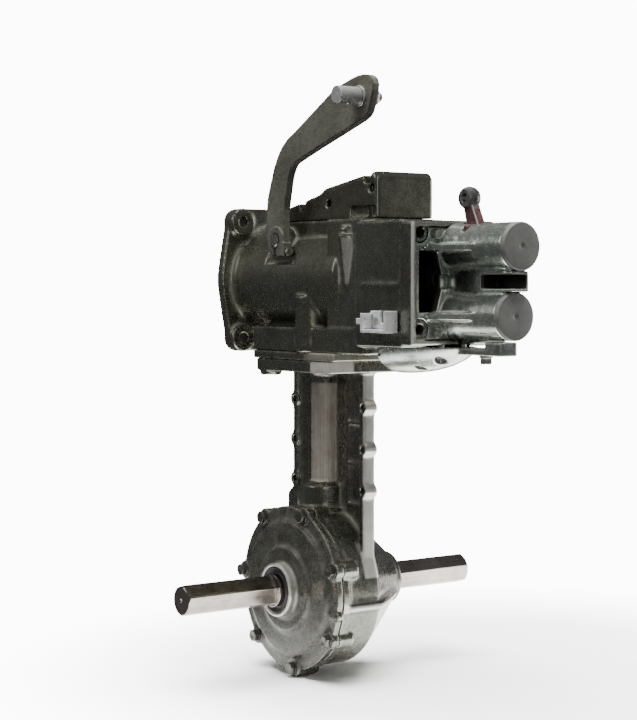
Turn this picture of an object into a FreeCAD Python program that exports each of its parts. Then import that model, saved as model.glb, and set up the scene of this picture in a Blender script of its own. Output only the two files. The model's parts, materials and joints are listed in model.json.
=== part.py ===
import FreeCAD, Part
import Sketcher

import math
import os
import re

# Tiller gearbox: clutch bell and gear case on top, drive column, lower axle
# case with a hexagonal tine axle.
# Frame: origin at the centre of the engine-flange face, +X to the rear along
# the input shaft, +Y along the tine axle, +Z up. Millimetres.

V = FreeCAD.Vector
R = FreeCAD.Rotation
doc = FreeCAD.newDocument("tiller_gearbox")

# ---------------------------------------------------------------- dimensions
sheet = doc.addObject("Spreadsheet::Sheet", "dims")
DIMENSIONS = [
    ("column_x", 88, "vertical drive axis behind the flange face"),
    ("axle_z", -278, "height of the tine axle"),
    ("lay_z", -30, "height of the lower gear shaft"),
    ("rail_z", 26, "height of the shift rail"),
    ("flange_thick", 10, "engine flange thickness"),
    ("flange_rad", 61.3, "engine flange round part"),
    ("flange_hole_y", 41.7, "half spacing of the flange holes"),
    ("flange_hole_z", 53.7, "half spacing of the flange holes"),
    ("flange_hole_rad", 4.5, "flange holes for M8 screws"),
    ("ear_rad", 12.5, "flange ear"),
    ("bell_rad", 50, "clutch bell outside"),
    ("bell_len", 165, "clutch bell length"),
    ("chamber_rad", 43, "clutch chamber inside"),
    ("chamber_len", 58, "clutch chamber depth"),
    ("release_rad", 28, "release chamber inside"),
    ("panel_x", 198, "start of the flat side panel"),
    ("case_end", 276, "rear face of the gear case"),
    ("case_half", 50, "half width of the gear case"),
    ("rim_hole_y", 40, "rear rim holes"),
    ("rim_hole_top", 38, "rear rim holes"),
    ("rim_hole_low", -41, "rear rim holes"),
    ("rim_hole_rad", 4.25, "rear rim holes"),
    ("pad_z", -64, "underside of the gear case pad"),
    ("plate_z", -71, "underside of the bearing plate"),
    ("foot_z", -82, "underside of the column flange"),
    ("fork_x", 80, "clutch fork shaft"),
    ("fork_z", 35, "clutch fork shaft"),
    ("fork_rad", 6, "clutch fork shaft"),
    ("shaft_rad", 7.47, "gear shafts"),
    ("race_bore", 7.5, "bearing bore, radius"),
    ("race_rad", 16, "bearing outside, radius"),
    ("small_bore", 6, "small bearing bore, radius"),
    ("small_rad", 14, "small bearing outside, radius"),
    ("spur_mod", 2, "forward gear module"),
    ("rev_mod", 1.5, "reverse gear module"),
    ("bevel_mod", 2, "upper bevel module"),
    ("final_mod", 3, "final bevel module"),
    ("cover_top", 92, "top of the shift cover"),
    ("cover_half", 31, "half width of the shift cover"),
    ("cover_end", 204, "rear face of the shift cover"),
    ("boss_rad", 19.5, "rear carrier bosses"),
    ("upper_end", 352, "upper boss end"),
    ("lower_end", 345, "lower boss end"),
    ("tube_rad", 13.5, "column tube outside"),
    ("tube_bore", 9.5, "column tube inside"),
    ("rib_front", 46, "front edge of the column, x"),
    ("rib_rear", 152, "rear edge of the column, x"),
    ("strip_half", 6.6, "half thickness of the column edge strips"),
    ("drum_rad", 72, "axle case drum"),
    ("rim_rad", 74, "axle case joint rim"),
    ("seam_y", -34, "joint plane of the axle case cover"),
    ("drum_y", 6, "end of the drum"),
    ("cone_y", 62, "end of the cone"),
    ("cone_rad", 27, "small end of the cone"),
    ("boss_y", 70, "end of the right axle boss"),
    ("left_disc_y", -48, "end of the left bearing disc"),
    ("left_collar_y", -57, "end of the left seal collar"),
    ("collar_rad", 24.5, "axle seal collars"),
    ("hex_flats", 25, "axle hexagon across flats"),
    ("axle_left", 155, "axle length to the left of the column"),
    ("axle_right", 160, "axle length to the right of the column"),
    ("journal_rad", 14.96, "axle journal"),
    ("axle_bore", 15, "axle bearing bore, radius"),
    ("axle_race", 27.5, "axle bearing outside, radius"),
    ("lever_y", -46, "middle of the clutch lever plate"),
    ("lever_thick", 7, "clutch lever plate"),
    ("lever_tip_x", 204, "cable pin in the lever"),
    ("lever_tip_z", 153.5, "cable pin in the lever"),
    ("shift_x", 297, "shift lever pivot"),
    ("shift_z", 41, "shift lever pivot"),
    ("shift_tilt", 20, "shift lever lean in forward gear, degrees"),
    ("sleeve_x", 160, "dog sleeve front face"),
]
for row, (alias, value, note) in enumerate(DIMENSIONS, start=1):
    sheet.set("A%d" % row, note)
    sheet.set("B%d" % row, str(value))
    sheet.setAlias("B%d" % row, alias)
doc.recompute()
D = {alias: float(sheet.get(alias)) for alias, value, note in DIMENSIONS}
NAMES = re.compile(r"\b(" + "|".join(sorted(D, key=len, reverse=True)) + r")\b")
COUNT = [0]


def expr(v):
    return NAMES.sub(r"dims.\1", str(v))


def num(v):
    """Number behind an expression, for the few shapes made directly."""
    if isinstance(v, (int, float)):
        return float(v)
    total = NAMES.sub(lambda m: "(%r)" % D[m.group(1)], v)
    cell = "Z%d" % (COUNT[0] + 1)
    COUNT[0] += 1
    sheet.set(cell, "=" + total)
    sheet.recompute()
    return float(sheet.get(cell))


def new(kind, name):
    return doc.addObject(kind, name)


AXES = {"z": R(), "x": R(V(0, 1, 0), 90), "y": R(V(1, 0, 0), -90),
        "-x": R(V(0, 1, 0), -90), "-y": R(V(1, 0, 0), 90), "-z": R(V(1, 0, 0), 180)}


def place(o, x, y, z, rot=None):
    o.Placement = FreeCAD.Placement(V(0, 0, 0), rot or R())
    for key, v in zip("xyz", (x, y, z)):
        if str(v) != "0":
            o.setExpression("Placement.Base." + key, expr(v))
    return o


def cyl(axis, x, y, z, rad, length, name="rod"):
    o = new("Part::Cylinder", name)
    o.setExpression("Radius", expr(rad))
    o.setExpression("Height", expr(length))
    return place(o, x, y, z, AXES[axis])


def cone(axis, x, y, z, r1, r2, length, name="cone"):
    o = new("Part::Cone", name)
    o.setExpression("Radius1", expr(r1))
    o.setExpression("Radius2", expr(r2))
    o.setExpression("Height", expr(length))
    return place(o, x, y, z, AXES[axis])


def box(x0, x1, y0, y1, z0, z1, name="block"):
    o = new("Part::Box", name)
    o.setExpression("Length", expr("(%s)-(%s)" % (x1, x0)))
    o.setExpression("Width", expr("(%s)-(%s)" % (y1, y0)))
    o.setExpression("Height", expr("(%s)-(%s)" % (z1, z0)))
    return place(o, x0, y0, z0)


def wedge(points, axis, start, length, name="rib"):
    """Prism over a polygon, run along one axis."""
    w = new("Part::Feature", name + "_wire")
    p = [V(*[num(c) for c in q]) for q in points]
    w.Shape = Part.Face(Part.makePolygon(p + [p[0]]))
    o = new("Part::Extrusion", name)
    o.Base = w
    o.DirMode = "Custom"
    o.Dir = {"x": V(1, 0, 0), "y": V(0, 1, 0), "z": V(0, 0, 1)}[axis]
    o.setExpression("LengthFwd", expr(length))
    o.Solid = True
    o.Placement.Base = V(*[num(start) if a == axis else 0 for a in "xyz"])
    return o


def hexagon(axis, x, y, z, flats, length, name="hex", turn=0):
    o = new("Part::Prism", name)
    o.Polygon = 6
    o.setExpression("Circumradius", expr("(%s)/1.7320508" % flats))
    o.setExpression("Height", expr(length))
    return place(o, x, y, z, AXES[axis].multiply(R(V(0, 0, 1), turn)))


def fuse(name, items):
    if len(items) == 1:
        return items[0]
    o = new("Part::MultiFuse", name)
    o.Shapes = items
    o.Refine = True
    return o


def cut(name, base, tools):
    o = new("Part::Cut", name)
    o.Base = base
    o.Tool = fuse(name + "_tools", tools)
    o.Refine = True
    return o


def group(name, items):
    o = new("Part::Compound", name)
    o.Links = items
    return o


def rounded(name, base, rad, pick):
    """Constant fillet on the edges that pick chooses."""
    doc.recompute()
    o = new("Part::Fillet", name)
    o.Base = base
    o.Edges = [(i, rad, rad) for i, e in enumerate(base.Shape.Edges, 1) if pick(e)]
    return o


NODES = []


def part(label, o):
    o.Label = label
    NODES.append(o)
    return o


# --------------------------------------------------- sketch-based body helper
def plane(body, role):
    return [f for f in body.Origin.OriginFeatures if f.Role == role][0]


def outline(body, role, points, name="outline"):
    """Closed polygon sketch; every corner is held by its own dimensions."""
    sk = body.newObject("Sketcher::SketchObject", name)
    sk.AttachmentSupport = [(plane(body, role), "")]
    sk.MapMode = "FlatFace"
    p = [V(num(a), num(b), 0) for a, b in points]
    n = len(p)
    for i in range(n):
        sk.addGeometry(Part.LineSegment(p[i], p[(i + 1) % n]), False)
    for i in range(n):
        sk.addConstraint(Sketcher.Constraint("Coincident", i, 2, (i + 1) % n, 1))
    for i in range(n):
        for k, (kind, v, axis) in enumerate((("DistanceX", points[i][0], -2), ("DistanceY", points[i][1], -1))):
            value = (p[i].x, p[i].y)[k]
            if abs(value) < 1e-9:
                sk.addConstraint(Sketcher.Constraint("PointOnObject", i, 1, axis))
            elif value > 0:
                c = sk.addConstraint(Sketcher.Constraint(kind, -1, 1, i, 1, value))
                if isinstance(v, str):
                    sk.setExpression("Constraints[%d]" % c, expr(v))
            else:
                c = sk.addConstraint(Sketcher.Constraint(kind, i, 1, -1, 1, -value))
                if isinstance(v, str):
                    sk.setExpression("Constraints[%d]" % c, expr("-(%s)" % v))
    return sk


def turned(name, role, axis, points, x=0, y=0, z=0):
    """Turned part: a half section revolved about a sketch axis."""
    body = new("PartDesign::Body", name)
    sk = outline(body, role, points)
    rev = body.newObject("PartDesign::Revolution", name + "_turn")
    rev.Profile = sk
    rev.ReferenceAxis = (sk, [axis])
    rev.Angle = 360
    body.Tip = rev
    place(body, x, y, z)
    return body


def turned_x(name, pts, y=0, z=0):
    """Points are (x, radius)."""
    return turned(name, "XY_Plane", "H_Axis", pts, 0, y, z)


def turned_y(name, pts, x=0, z=0):
    """Points are (radius, y)."""
    return turned(name, "XY_Plane", "V_Axis", pts, x, 0, z)


def turned_z(name, pts, x=0, y=0):
    """Points are (radius, z)."""
    return turned(name, "XZ_Plane", "V_Axis", pts, x, y, 0)


# ------------------------------------------------------------- gear geometry
PRESSURE = math.radians(25)
TURN_X = R(V(1, 1, 1), 120)          # local x, y, z to Y, Z, X


def involute(a):
    return math.tan(a) - a


def tooth_points(n, pitch, add, ded, play, steps=3):
    """(radius, half angle) from root to tip of one flank."""
    base = pitch * math.cos(PRESSURE)
    tip, root = pitch + add, pitch - ded
    half = math.pi / (2 * n) - play / (2 * pitch)
    start = max(base, root)
    pts = []
    for i in range(steps + 1):
        r = start + (tip - start) * i / steps
        a = math.acos(min(1.0, base / r))
        pts.append((r, half + involute(PRESSURE) - involute(a)))
    if root < base:
        pts.insert(0, (root, pts[0][1]))
    return pts


def gear_wire(n, pts, phase, spread=1.0, level=lambda r: (r, 0.0)):
    ring = []
    for k in range(n):
        mid = phase + 2 * math.pi * k / n
        for r, h in pts:
            ring.append((r, mid - h * spread))
        for r, h in reversed(pts):
            ring.append((r, mid + h * spread))
    out = []
    for r, a in ring:
        rr, z = level(r)
        out.append(V(rr * math.cos(a), rr * math.sin(a), z))
    return Part.makePolygon(out + [out[0]])


def spur(n, module, width, phase_deg, play=0.12):
    """Spur teeth in the local XY plane, from z = 0 to width."""
    pts = tooth_points(n, n * module / 2, 0.8 * module, 1.1 * module, play)
    w = gear_wire(n, pts, math.radians(phase_deg))
    return Part.Face(w).extrude(V(0, 0, width))


def bevel(n, mate, module, face, phase_deg, play=0.2):
    """Bevel teeth with the cone apex at the origin, opening along +z."""
    r, h = n * module / 2, mate * module / 2
    d = math.atan2(r, h)
    back = r / math.cos(d)
    outer = math.hypot(r, h)
    k = (outer - face) / outer
    add, ded = 0.75 * module, 1.1 * module
    pts = tooth_points(n / math.cos(d), back, add, ded, play)

    def at(z0):
        def level(rho):
            rr = rho * math.cos(d)
            z = h - (rho - back) * math.sin(d)
            return (rr * z0 / z, z0)
        return level

    spread = 1 / math.cos(d)
    z1 = (h - add * math.sin(d)) * k - 1.5
    z2 = h + ded * math.sin(d) + 1.0
    small = [v.Point for v in gear_wire(n, pts, math.radians(phase_deg), spread, at(z1)).OrderedVertexes]
    large = [v.Point for v in gear_wire(n, pts, math.radians(phase_deg), spread, at(z2)).OrderedVertexes]
    faces = [Part.Face(Part.makePolygon(q + [q[0]])) for q in (small, large)]
    for i in range(len(small)):
        m = (i + 1) % len(small)
        faces.append(Part.Face(Part.makePolygon([small[i], small[m], large[m], large[i], small[i]])))
    body = Part.makeSolid(Part.makeShell(faces))
    tip = V(r + add * math.cos(d), 0, h - add * math.sin(d))
    low = V(r - ded * math.cos(d) - 1e-3, 0, h + ded * math.sin(d))
    prof = [V(0, 0, tip.z * k), tip * k, tip, low, V(0, 0, low.z)]
    inner = V(low.x * k, 0, low.z * k)
    if inner.z < tip.z * k:
        prof[0] = V(0, 0, inner.z)
        prof.insert(1, inner)
    blank = Part.Face(Part.makePolygon(prof + [prof[0]])).revolve(V(0, 0, 0), V(0, 0, 1), 360)
    return body.common(blank), low, tip, k


def made(name, shape, x, y, z, rot):
    """Free-form shape: the Shape first, then its Placement."""
    o = new("Part::Feature", name)
    o.Shape = shape
    return place(o, x, y, z, rot)


def ring(z, length, rad, bore=0.0):
    s = Part.makeCylinder(rad, length, V(0, 0, z))
    return s.cut(Part.makeCylinder(bore, length, V(0, 0, z))) if bore else s


# ------------------------------------------------------------------ fasteners
def bolt(axis, x, y, z, rad, length, flats, head, washer=0.0):
    """Hexagon bolt: head outside the point, shank along the axis."""
    off = {"x": (1, 0, 0), "y": (0, 1, 0), "z": (0, 0, 1),
           "-x": (-1, 0, 0), "-y": (0, -1, 0), "-z": (0, 0, -1)}[axis]
    at = lambda q: [("(%s)+(%s)" % (c, o * q)) if o * q else c for c, o in zip((x, y, z), off)]
    items = [hexagon(axis, *at(-head - washer), flats, head, "head"),
             cyl(axis, *at(-washer), rad, length + washer, "shank")]
    if washer:
        items.append(cyl(axis, *at(-washer), "(%s)*0.62" % flats, washer, "washer"))
    return fuse("bolt", items)


# =============================================================== main housing
lay = D["lay_z"]
flange = [cyl("x", 0, 0, 0, "flange_rad", "flange_thick", "flange_disc"),
          box(0, "flange_thick", "-flange_hole_y", "flange_hole_y", "-flange_hole_z-ear_rad", "flange_hole_z+ear_rad")]
flange.append(wedge([(0, -53, 53.7), (0, -56.5, 34), (0, -60.5, 10), (0, -60.5, -10), (0, -56.5, -34), (0, -53, -53.7),
                     (0, 53, -53.7), (0, 56.5, -34), (0, 60.5, -10), (0, 60.5, 10), (0, 56.5, 34), (0, 53, 53.7)], "x", 0, 10, "flange_sides"))
for sy in (-1, 1):
    for sz in (-1, 1):
        flange.append(cyl("x", 0, "%d*flange_hole_y" % sy, "%d*flange_hole_z" % sz, "ear_rad", "flange_thick+6", "ear"))
outer = flange + [
    cone("x", "flange_thick-1", 0, 0, "bell_rad+3", "bell_rad", 6, "flange_neck"),
    cyl("x", 1, 0, 0, "bell_rad", "bell_len", "bell"),
    cone("x", "bell_len+1", 0, 0, "bell_rad", "bell_rad-9", 12, "bell_shoulder"),
    box(152, "panel_x+4", -46, 46, -58, 52, "gear_case"),
    box("panel_x", "case_end-14", "-case_half", "case_half", -56, 49, "panel"),
    box("case_end-14", "case_end", "-case_half-1.5", "case_half+1.5", -54, 47, "rim"),
    box(38, "panel_x+8", -47, 47, "pad_z", -42, "base_pad"),
    box(57, 206, "-cover_half-2", "cover_half+2", 34, 52, "cover_pad"),
    cyl("z", 118, -36, "pad_z", 16, 50, "side_boss"),
    cyl("z", 118, 36, "pad_z", 16, 50, "side_boss_right"),
    cone("z", 180, -43, -6, 4, 10, 44, "round_boss"),
    cyl("z", 180, -43, 37, 7.5, 8, "round_boss_top"),
    cone("z", 180, 43, -6, 4, 10, 44, "round_boss_right"),
    cyl("y", "fork_x", -42, "fork_z", 11.5, 84, "fork_boss"),
    cyl("x", 206, -46, -5, 5, 56, "panel_rib"),
]
rim_holes = [(sy, a) for sy in (-1, 1) for a in ("rim_hole_top", "rim_hole_low")]
hollow = [
    cyl("x", -1, 0, 0, "chamber_rad", "chamber_len+1", "clutch_chamber"),
    cyl("x", "chamber_len-1", 0, 0, "release_rad", 37, "release_chamber"),
    box(70, 94, -27, 27, 0, 45, "fork_pocket"),
    cyl("x", 90, 0, 0, 8.2, 40, "input_passage"),
    cyl("x", 95.2, 0, 0, 11.5, 5.2, "seal_seat"),
    box(61, 104, -60, -42.3, 14, 60, "lever_flat"),
    cyl("x", "case_end-6", 0, "rail_z", "boss_rad+0.7", 10, "upper_boss_notch"),
    cyl("x", 121, 0, 0, "race_rad", 12, "input_seat"),
    cyl("x", 111, 0, "lay_z", "small_rad", 8, "lower_seat"),
    cyl("x", 100.6, 0, "lay_z", 17.5, 11, "pinion_room"),
    cyl("x", 100.6, 0, "lay_z", 9, 32, "lower_passage"),
    cyl("z", "column_x", 0, "pad_z-1", 26, 28, "bevel_room"),
    cyl("x", 130, 0, 0, 45.3, 31, "front_room"),
    box(130, 161, -22, 22, -53, 0, "front_room_floor"),
    box(159, "panel_x+2", -41.5, 41.5, -53, 44, "gear_room"),
    box("panel_x", "case_end-10", -44, 44, -50, 43, "rear_room"),
    box("case_end-12", "case_end+1", -46, 46, -50, 43, "rim_opening"),
    cyl("y", "fork_x", -60, "fork_z", "fork_rad+0.05", 98, "fork_bore"),
    cyl("x", 122, 23.32, -13.61, 5, 10, "idler_seat"),
]
shell = cut("case_shell", fuse("case_outer", outer), hollow)
posts = [cyl("x", "case_end-40", "%d*rim_hole_y" % sy, a, 8, 38, "rim_post") for sy, a in rim_holes]
posts += [cyl("x", "case_end-40", y, z, 7.5, 30, "carrier_post") for y, z in ((-24, 37), (24, 37), (-24, -44), (24, -44))]
guide = cyl("x", 68.5, 0, 0, 12, 26, "guide_tube")
case_full = fuse("case_with_posts", [shell, guide] + posts)
COLUMN_BOLTS = [(x, y) for x in (54, 101, 148) for y in (-37.5, 37.5)]
COVER_BOLTS = [(94, -25), (94, 25), (190, -25), (190, 25)]
CARRIER_BOLTS = [(-24, 37), (24, 37), (-24, -44), (24, -44)]
drill = [cyl("x", -1, "%d*flange_hole_y" % sy, "%d*flange_hole_z" % sz, "flange_hole_rad", "flange_thick+10")
         for sy in (-1, 1) for sz in (-1, 1)]
drill += [cyl("x", "case_end-25", "%d*rim_hole_y" % sy, a, "rim_hole_rad", 30) for sy, a in rim_holes]
drill += [cyl("z", x, y, "pad_z-1", 4.1, 21) for x, y in COLUMN_BOLTS]
drill += [cyl("z", x, y, 43, 3.1, 12) for x, y in COVER_BOLTS]
drill += [cyl("x", "case_end-26", y, z, 3.1, 17) for y, z in CARRIER_BOLTS]
drill += [cyl("x", 60, 0, 0, 8.2, 36), cyl("x", -1, -22, -56.5, 4.1, 14),
          cyl("y", 232, -56, -35, 2.1, 13), cyl("y", 249.5, -56, -35, 2.1, 13),
          ] + [cyl("z", x, y, -60, 3.1, 9.3) for x in (240, 266) for y in (-12, 12)]
# one casting, kept as two solids that meet in the plane behind the release chamber
part("clutch_bell", cut("clutch_bell", case_full, drill + [box(95, 300, -90, 90, -90, 90, "case_side")]))
part("main_housing", cut("main_housing", case_full, drill + [box(-10, 95, -90, 90, -90, 90, "bell_side")]))

# engine-side screw in the bell flange
part("flange_bolt", bolt("-x", "flange_thick", -22, -56.5, 4, 9.5, 11.5, 5.5, 1.2))

# ------------------------------------------------------------------ top cover
cover_body = new("PartDesign::Body", "cover_block")
cover_sketch = outline(cover_body, "XZ_Plane", [
    (58, 52.3), ("cover_end", 52.3), ("cover_end", "cover_top-5"), ("cover_end-4", "cover_top"),
    ("cover_end-10", "cover_top-1"), (142, 82.6), (128, 80.4), (119, 75.4), (70, 64.6), (61, 62.4), (58, 60)])
cover_pad = cover_body.newObject("PartDesign::Pad", "cover_pad_up")
cover_pad.Profile = cover_sketch
cover_pad.setExpression("Length", expr("cover_half*2"))
cover_pad.Midplane = True
cover_body.Tip = cover_pad
doc.recompute()
round_edges = rounded("cover_rounded", cover_body, 3.0,
                      lambda e: abs(abs(e.CenterOfMass.y) - D["cover_half"]) < 0.01 and e.CenterOfMass.z > 58
                      and e.Length > 6)
cover_cuts = [
    box(130, "cover_end-6", "-cover_half+5", "cover_half-5", 51, 72, "cover_inside"),
    box(82, 132, "-cover_half+6", "cover_half-6", 51, 57, "cover_inside_front"),
    box(166, "cover_end-3", "-cover_half-1", "-cover_half+4", 53, 63, "cover_recess"),
    box(166, "cover_end-3", "cover_half-4", "cover_half+1", 53, 63, "cover_recess_right"),
    cyl("y", 196, -40, 78, 3.4, 80, "cover_cross_hole"),
    cyl("y", 134, -40, 67, 3.4, 80, "cover_cross_hole_front"),
]
for x, y in COVER_BOLTS:
    top = 62 if x < 100 else 83
    cover_cuts.append(cyl("z", x, y, 50, 3.1, 50))
    cover_cuts.append(cyl("z", x, y, top, 6.6, 40))
part("top_cover", cut("top_cover", round_edges, cover_cuts))
part("top_cover_bolts", group("top_cover_bolts", [
    bolt("-z", x, y, 62 if x < 100 else 83, 3, 17 if x < 100 else 38, 10, 4) for x, y in COVER_BOLTS]))

# ---------------------------------------------------------------- rear carrier
carrier_body = [
    box("case_end-10", "case_end-2", -45.6, 45.6, -49.6, 42.6, "carrier_plate"),
    cyl("x", "case_end-6", 0, "rail_z", "boss_rad", "upper_end-case_end+2", "upper_boss"),
    cyl("x", "case_end-6", 0, "lay_z", "boss_rad", "lower_end-case_end+2", "lower_boss"),
    cone("x", "case_end+0.4", 0, "rail_z", 21.4, "boss_rad", 18, "upper_root"),
    cone("x", "case_end+0.4", 0, "lay_z", 21.4, "boss_rad", 18, "lower_root"),
    box("case_end-4", "lower_end-5", -9, 9, "lay_z", "rail_z", "carrier_web"),
    box("lower_end-6", "upper_end-2", -9, 9, -10.2, 6.2, "web_end"),
    cyl("x", "case_end-24", 0, 0, 17.5, 18, "input_end_boss"),
]
for z in ("rail_z", "lay_z"):
    z0 = num(z)
    for s in (-1, 1):
        carrier_body.append(wedge([(272, s * 12, 0), (318, s * 19, 0), (272, s * 34, 0)], "z", z0 - 3, 6, "side_gusset"))
carrier_body.append(wedge([(276.5, 0, -54), (322, 0, -48), (276.5, 0, -44)], "y", -3, 6, "bottom_gusset"))
carrier_cuts = [
    cyl("x", "case_end-30", 0, "rail_z", 8.1, "upper_end-case_end+24", "rail_bore"),
    cyl("x", "upper_end-14", 0, "rail_z", 12, 20, "upper_cap_seat"),
    cyl("x", "case_end-30", 0, "lay_z", 11, 70, "lower_clear"),
    cyl("x", 312, 0, "lay_z", "race_rad", 40, "lower_rear_seat"),
    cyl("x", 252, 0, 0, "small_rad", 8.2, "input_rear_seat"),
    cyl("x", 250, 0, 0, 9, 16, "input_rear_clear"),
    box(315, "upper_end+1", -12, 6.5, -7.4, 3.4, "window"),
    box("case_end-5.5", "case_end", -18.5, -9.5, -8, 4, "recess_floor"),
    box("shift_x-13", "shift_x+11", -4.8, 4.8, 28, 50, "lever_slot"),
    cyl("y", "shift_x", -25, "shift_z", 3, 50, "pivot_hole"),
]
carrier_cuts += [cyl("x", "case_end-14", "%d*rim_hole_y" % sy, a, 8.6, 14, "post_clear") for sy, a in rim_holes]
carrier_cuts += [box("case_end-6.5", "case_end", s * 37.5 - 3.5, s * 37.5 + 3.5, -30, 26, "side_slot") for s in (-1, 1)]
carrier_cuts += [box("case_end-14", "case_end", min(s * 40, s * 47), max(s * 40, s * 47), min(z, z + q), max(z, z + q), "post_corner")
                 for s in (-1, 1) for z, q in ((38, 9), (-41, -9))]
carrier_cuts += [cyl("x", "case_end-14", y, z, 3.1, 20) for y, z in CARRIER_BOLTS]
for s in (-1, 1):
    carrier_cuts.append(wedge([(0, s * 40.5, -27), (0, s * 23, -27), (0, s * 18, -9.5), (0, s * 18, 5.5), (0, s * 23, 23), (0, s * 40.5, 23)],
                              "x", 264, 12, "side_recess"))
part("rear_carrier", cut("rear_carrier", fuse("carrier_solid", carrier_body), carrier_cuts))
part("rear_carrier_bolts", group("rear_carrier_bolts", [
    bolt("-x", "case_end-2", y, z, 3, 20, 8, 3.5) for y, z in CARRIER_BOLTS]))
part("upper_boss_cap", turned_x("upper_boss_cap", [
    ("upper_end-9", 0), ("upper_end-9", 11.9), ("upper_end-4", 11.9), ("upper_end-4", "boss_rad"),
    ("upper_end-1", "boss_rad"), ("upper_end", "boss_rad-1"), ("upper_end", 0)], 0, "rail_z"))
part("lower_boss_cap", turned_x("lower_boss_cap", [
    ("lower_end-10", 0), ("lower_end-10", 15.9), ("lower_end-4", 15.9), ("lower_end-4", "boss_rad"),
    ("lower_end-1", "boss_rad"), ("lower_end", "boss_rad-1"), ("lower_end", 0)], 0, "lay_z"))

# --------------------------------------------------------------- cable bracket
bracket = fuse("bracket_solid", [
    box(204, 258, -53.5, -51.2, -37.5, -32.5, "bracket_tab"),
    box(224, 258, -53.5, -51.2, -44, -26, "bracket_plate"),
    box(224, 227, -64, -51.2, -44, -28, "bracket_cheek"),
    box(255, 258, -64, -51.2, -44, -26, "bracket_cheek_rear"),
    box(224, 258, -64, -51.2, -44, -41.5, "bracket_floor"),
])
part("cable_bracket", cut("cable_bracket", bracket, [
    cyl("y", 232, -56, -35, 2.1, 8), cyl("y", 249.5, -56, -35, 2.1, 8),
    box(238, 244, -55, -50, -36, -20, "cable_slot"), box(238, 244, -66, -58, -45, -38, "cable_slot_floor")]))
part("cable_bracket_bolts", group("cable_bracket_bolts", [
    bolt("y", 232, -53.5, -35, 2, 8, 6, 2.5), bolt("y", 249.5, -53.5, -35, 2, 8, 6, 2.5)]))

# ---------------------------------------------------- bearing plate, tow bracket
part("bearing_plate", cut("bearing_plate", box(41, 165, -48, 48, "plate_z", "pad_z", "plate_block"), [
    cyl("z", "column_x", 0, "plate_z-1", "race_rad", 20)] + [cyl("z", x, y, "plate_z-1", 4.1, 20) for x, y in COLUMN_BOLTS]))
bowl = new("Part::Ellipsoid", "tow_bowl")
bowl.Radius1, bowl.Radius2, bowl.Radius3 = 30, 91, 34
place(bowl, 202, 0, -50)
bowl_low = new("Part::MultiCommon", "tow_bowl_low")
bowl_low.Shapes = [bowl, box(201, 300, -40, 40, -85, -56, "bowl_limits")]
tow_body = fuse("tow_solid", [
    bowl_low,
    box(260, 320, -9, 9, -62, -56, "tow_tongue"),
    box(317, 337, -9, 9, -62, -50.5, "tow_block"),
])
TOW_BOLTS = [(240, -12), (240, 12), (266, -12), (266, 12)]
part("tow_bracket", cut("tow_bracket", tow_body, [
    box(195, 207, -60, 60, -64, -50, "pad_clearance"),
    cyl("z", 328, 0, -70, 3.2, 30, "tow_pin_hole"), cyl("z", 309, 0, -70, 3.1, 30, "stud_hole")]
    + [cyl("z", x, y, -70, 3.1, 20) for x, y in TOW_BOLTS] + [cyl("z", x, y, -90, 5.2, 28) for x, y in TOW_BOLTS]))
part("tow_bracket_bolts", group("tow_bracket_bolts", [
    bolt("z", x, y, -62, 3, 11, 8, 3) for x, y in TOW_BOLTS] + [bolt("z", 309, 0, -62, 3, 6, 9, 5, 2)]))

# ====================================================================== column
column_solids = [
    box(44, 158, -47, 47, "foot_z", "plate_z", "column_flange"),
    cyl("z", "column_x", 0, -214, "tube_rad", 134, "column_tube"),
    cone("z", "column_x", 0, "foot_z-4", "tube_rad+1", 18, 5, "flange_root"),
    cyl("z", "column_x", 0, -232, 21, 46, "neck"),
    cone("z", "column_x", 0, -187, 21, "tube_rad", 5, "neck_top"),
    cyl("z", "column_x", 0, -252, 25, 46, "neck_foot"),
    box("rib_front", "column_x", -2.5, 2.5, -230, "foot_z+1", "front_web"),
    box("column_x", "rib_rear", 2, 6.4, -262, "foot_z+1", "rear_web"),
    box("rib_front-1", "rib_front+5", "-strip_half", "strip_half", -222, "foot_z+1", "front_strip"),
    box("rib_rear-6", "rib_rear+1", "-strip_half", "strip_half", -262, "foot_z+1", "rear_strip"),
    cyl("y", "column_x", "seam_y", "axle_z", "drum_rad", "drum_y-seam_y", "drum"),
    cyl("y", "column_x", "seam_y", "axle_z", "rim_rad", 7, "drum_rim"),
    cone("y", "column_x", "drum_y", "axle_z", "drum_rad", "cone_rad", "cone_y-drum_y", "drum_cone"),
    wedge([(46, 0, -190), (36, 0, -198), (36, 0, -233), (60, 0, -233)], "y", -6.5, 13, "front_gusset"),
    cyl("y", "column_x", "cone_y-1", "axle_z", "collar_rad", "boss_y-cone_y+1", "right_boss"),
]
column_solids.append(cyl("x", 15.5, -14, "axle_z-36", 10, 20, "drain_boss"))
column_solids += [cyl("z", 54, y, "foot_z-5", 9.5, 6, "bolt_boss") for y in (-37.5, 37.5)]
LUGS = (-110, -147, -184)
for z in LUGS:
    column_solids.append(cyl("y", "rib_front+1", "-strip_half-0.5", z, 6.5, "2*strip_half+1", "front_lug"))
    column_solids.append(cyl("y", "rib_rear-1", "-strip_half-0.5", z - 3, 5.8, "2*strip_half+1", "rear_lug"))
column_solids.append(box("column_x+30", "column_x+33", 0, "strip_half-0.6", -205, "foot_z+1", "rear_stringer"))
for z in (-128, -165, -202):
    column_solids.append(box("column_x+30", "rib_rear", 0, "strip_half-1.6", z - 1.5, z + 1.5, "rear_rung"))
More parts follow.
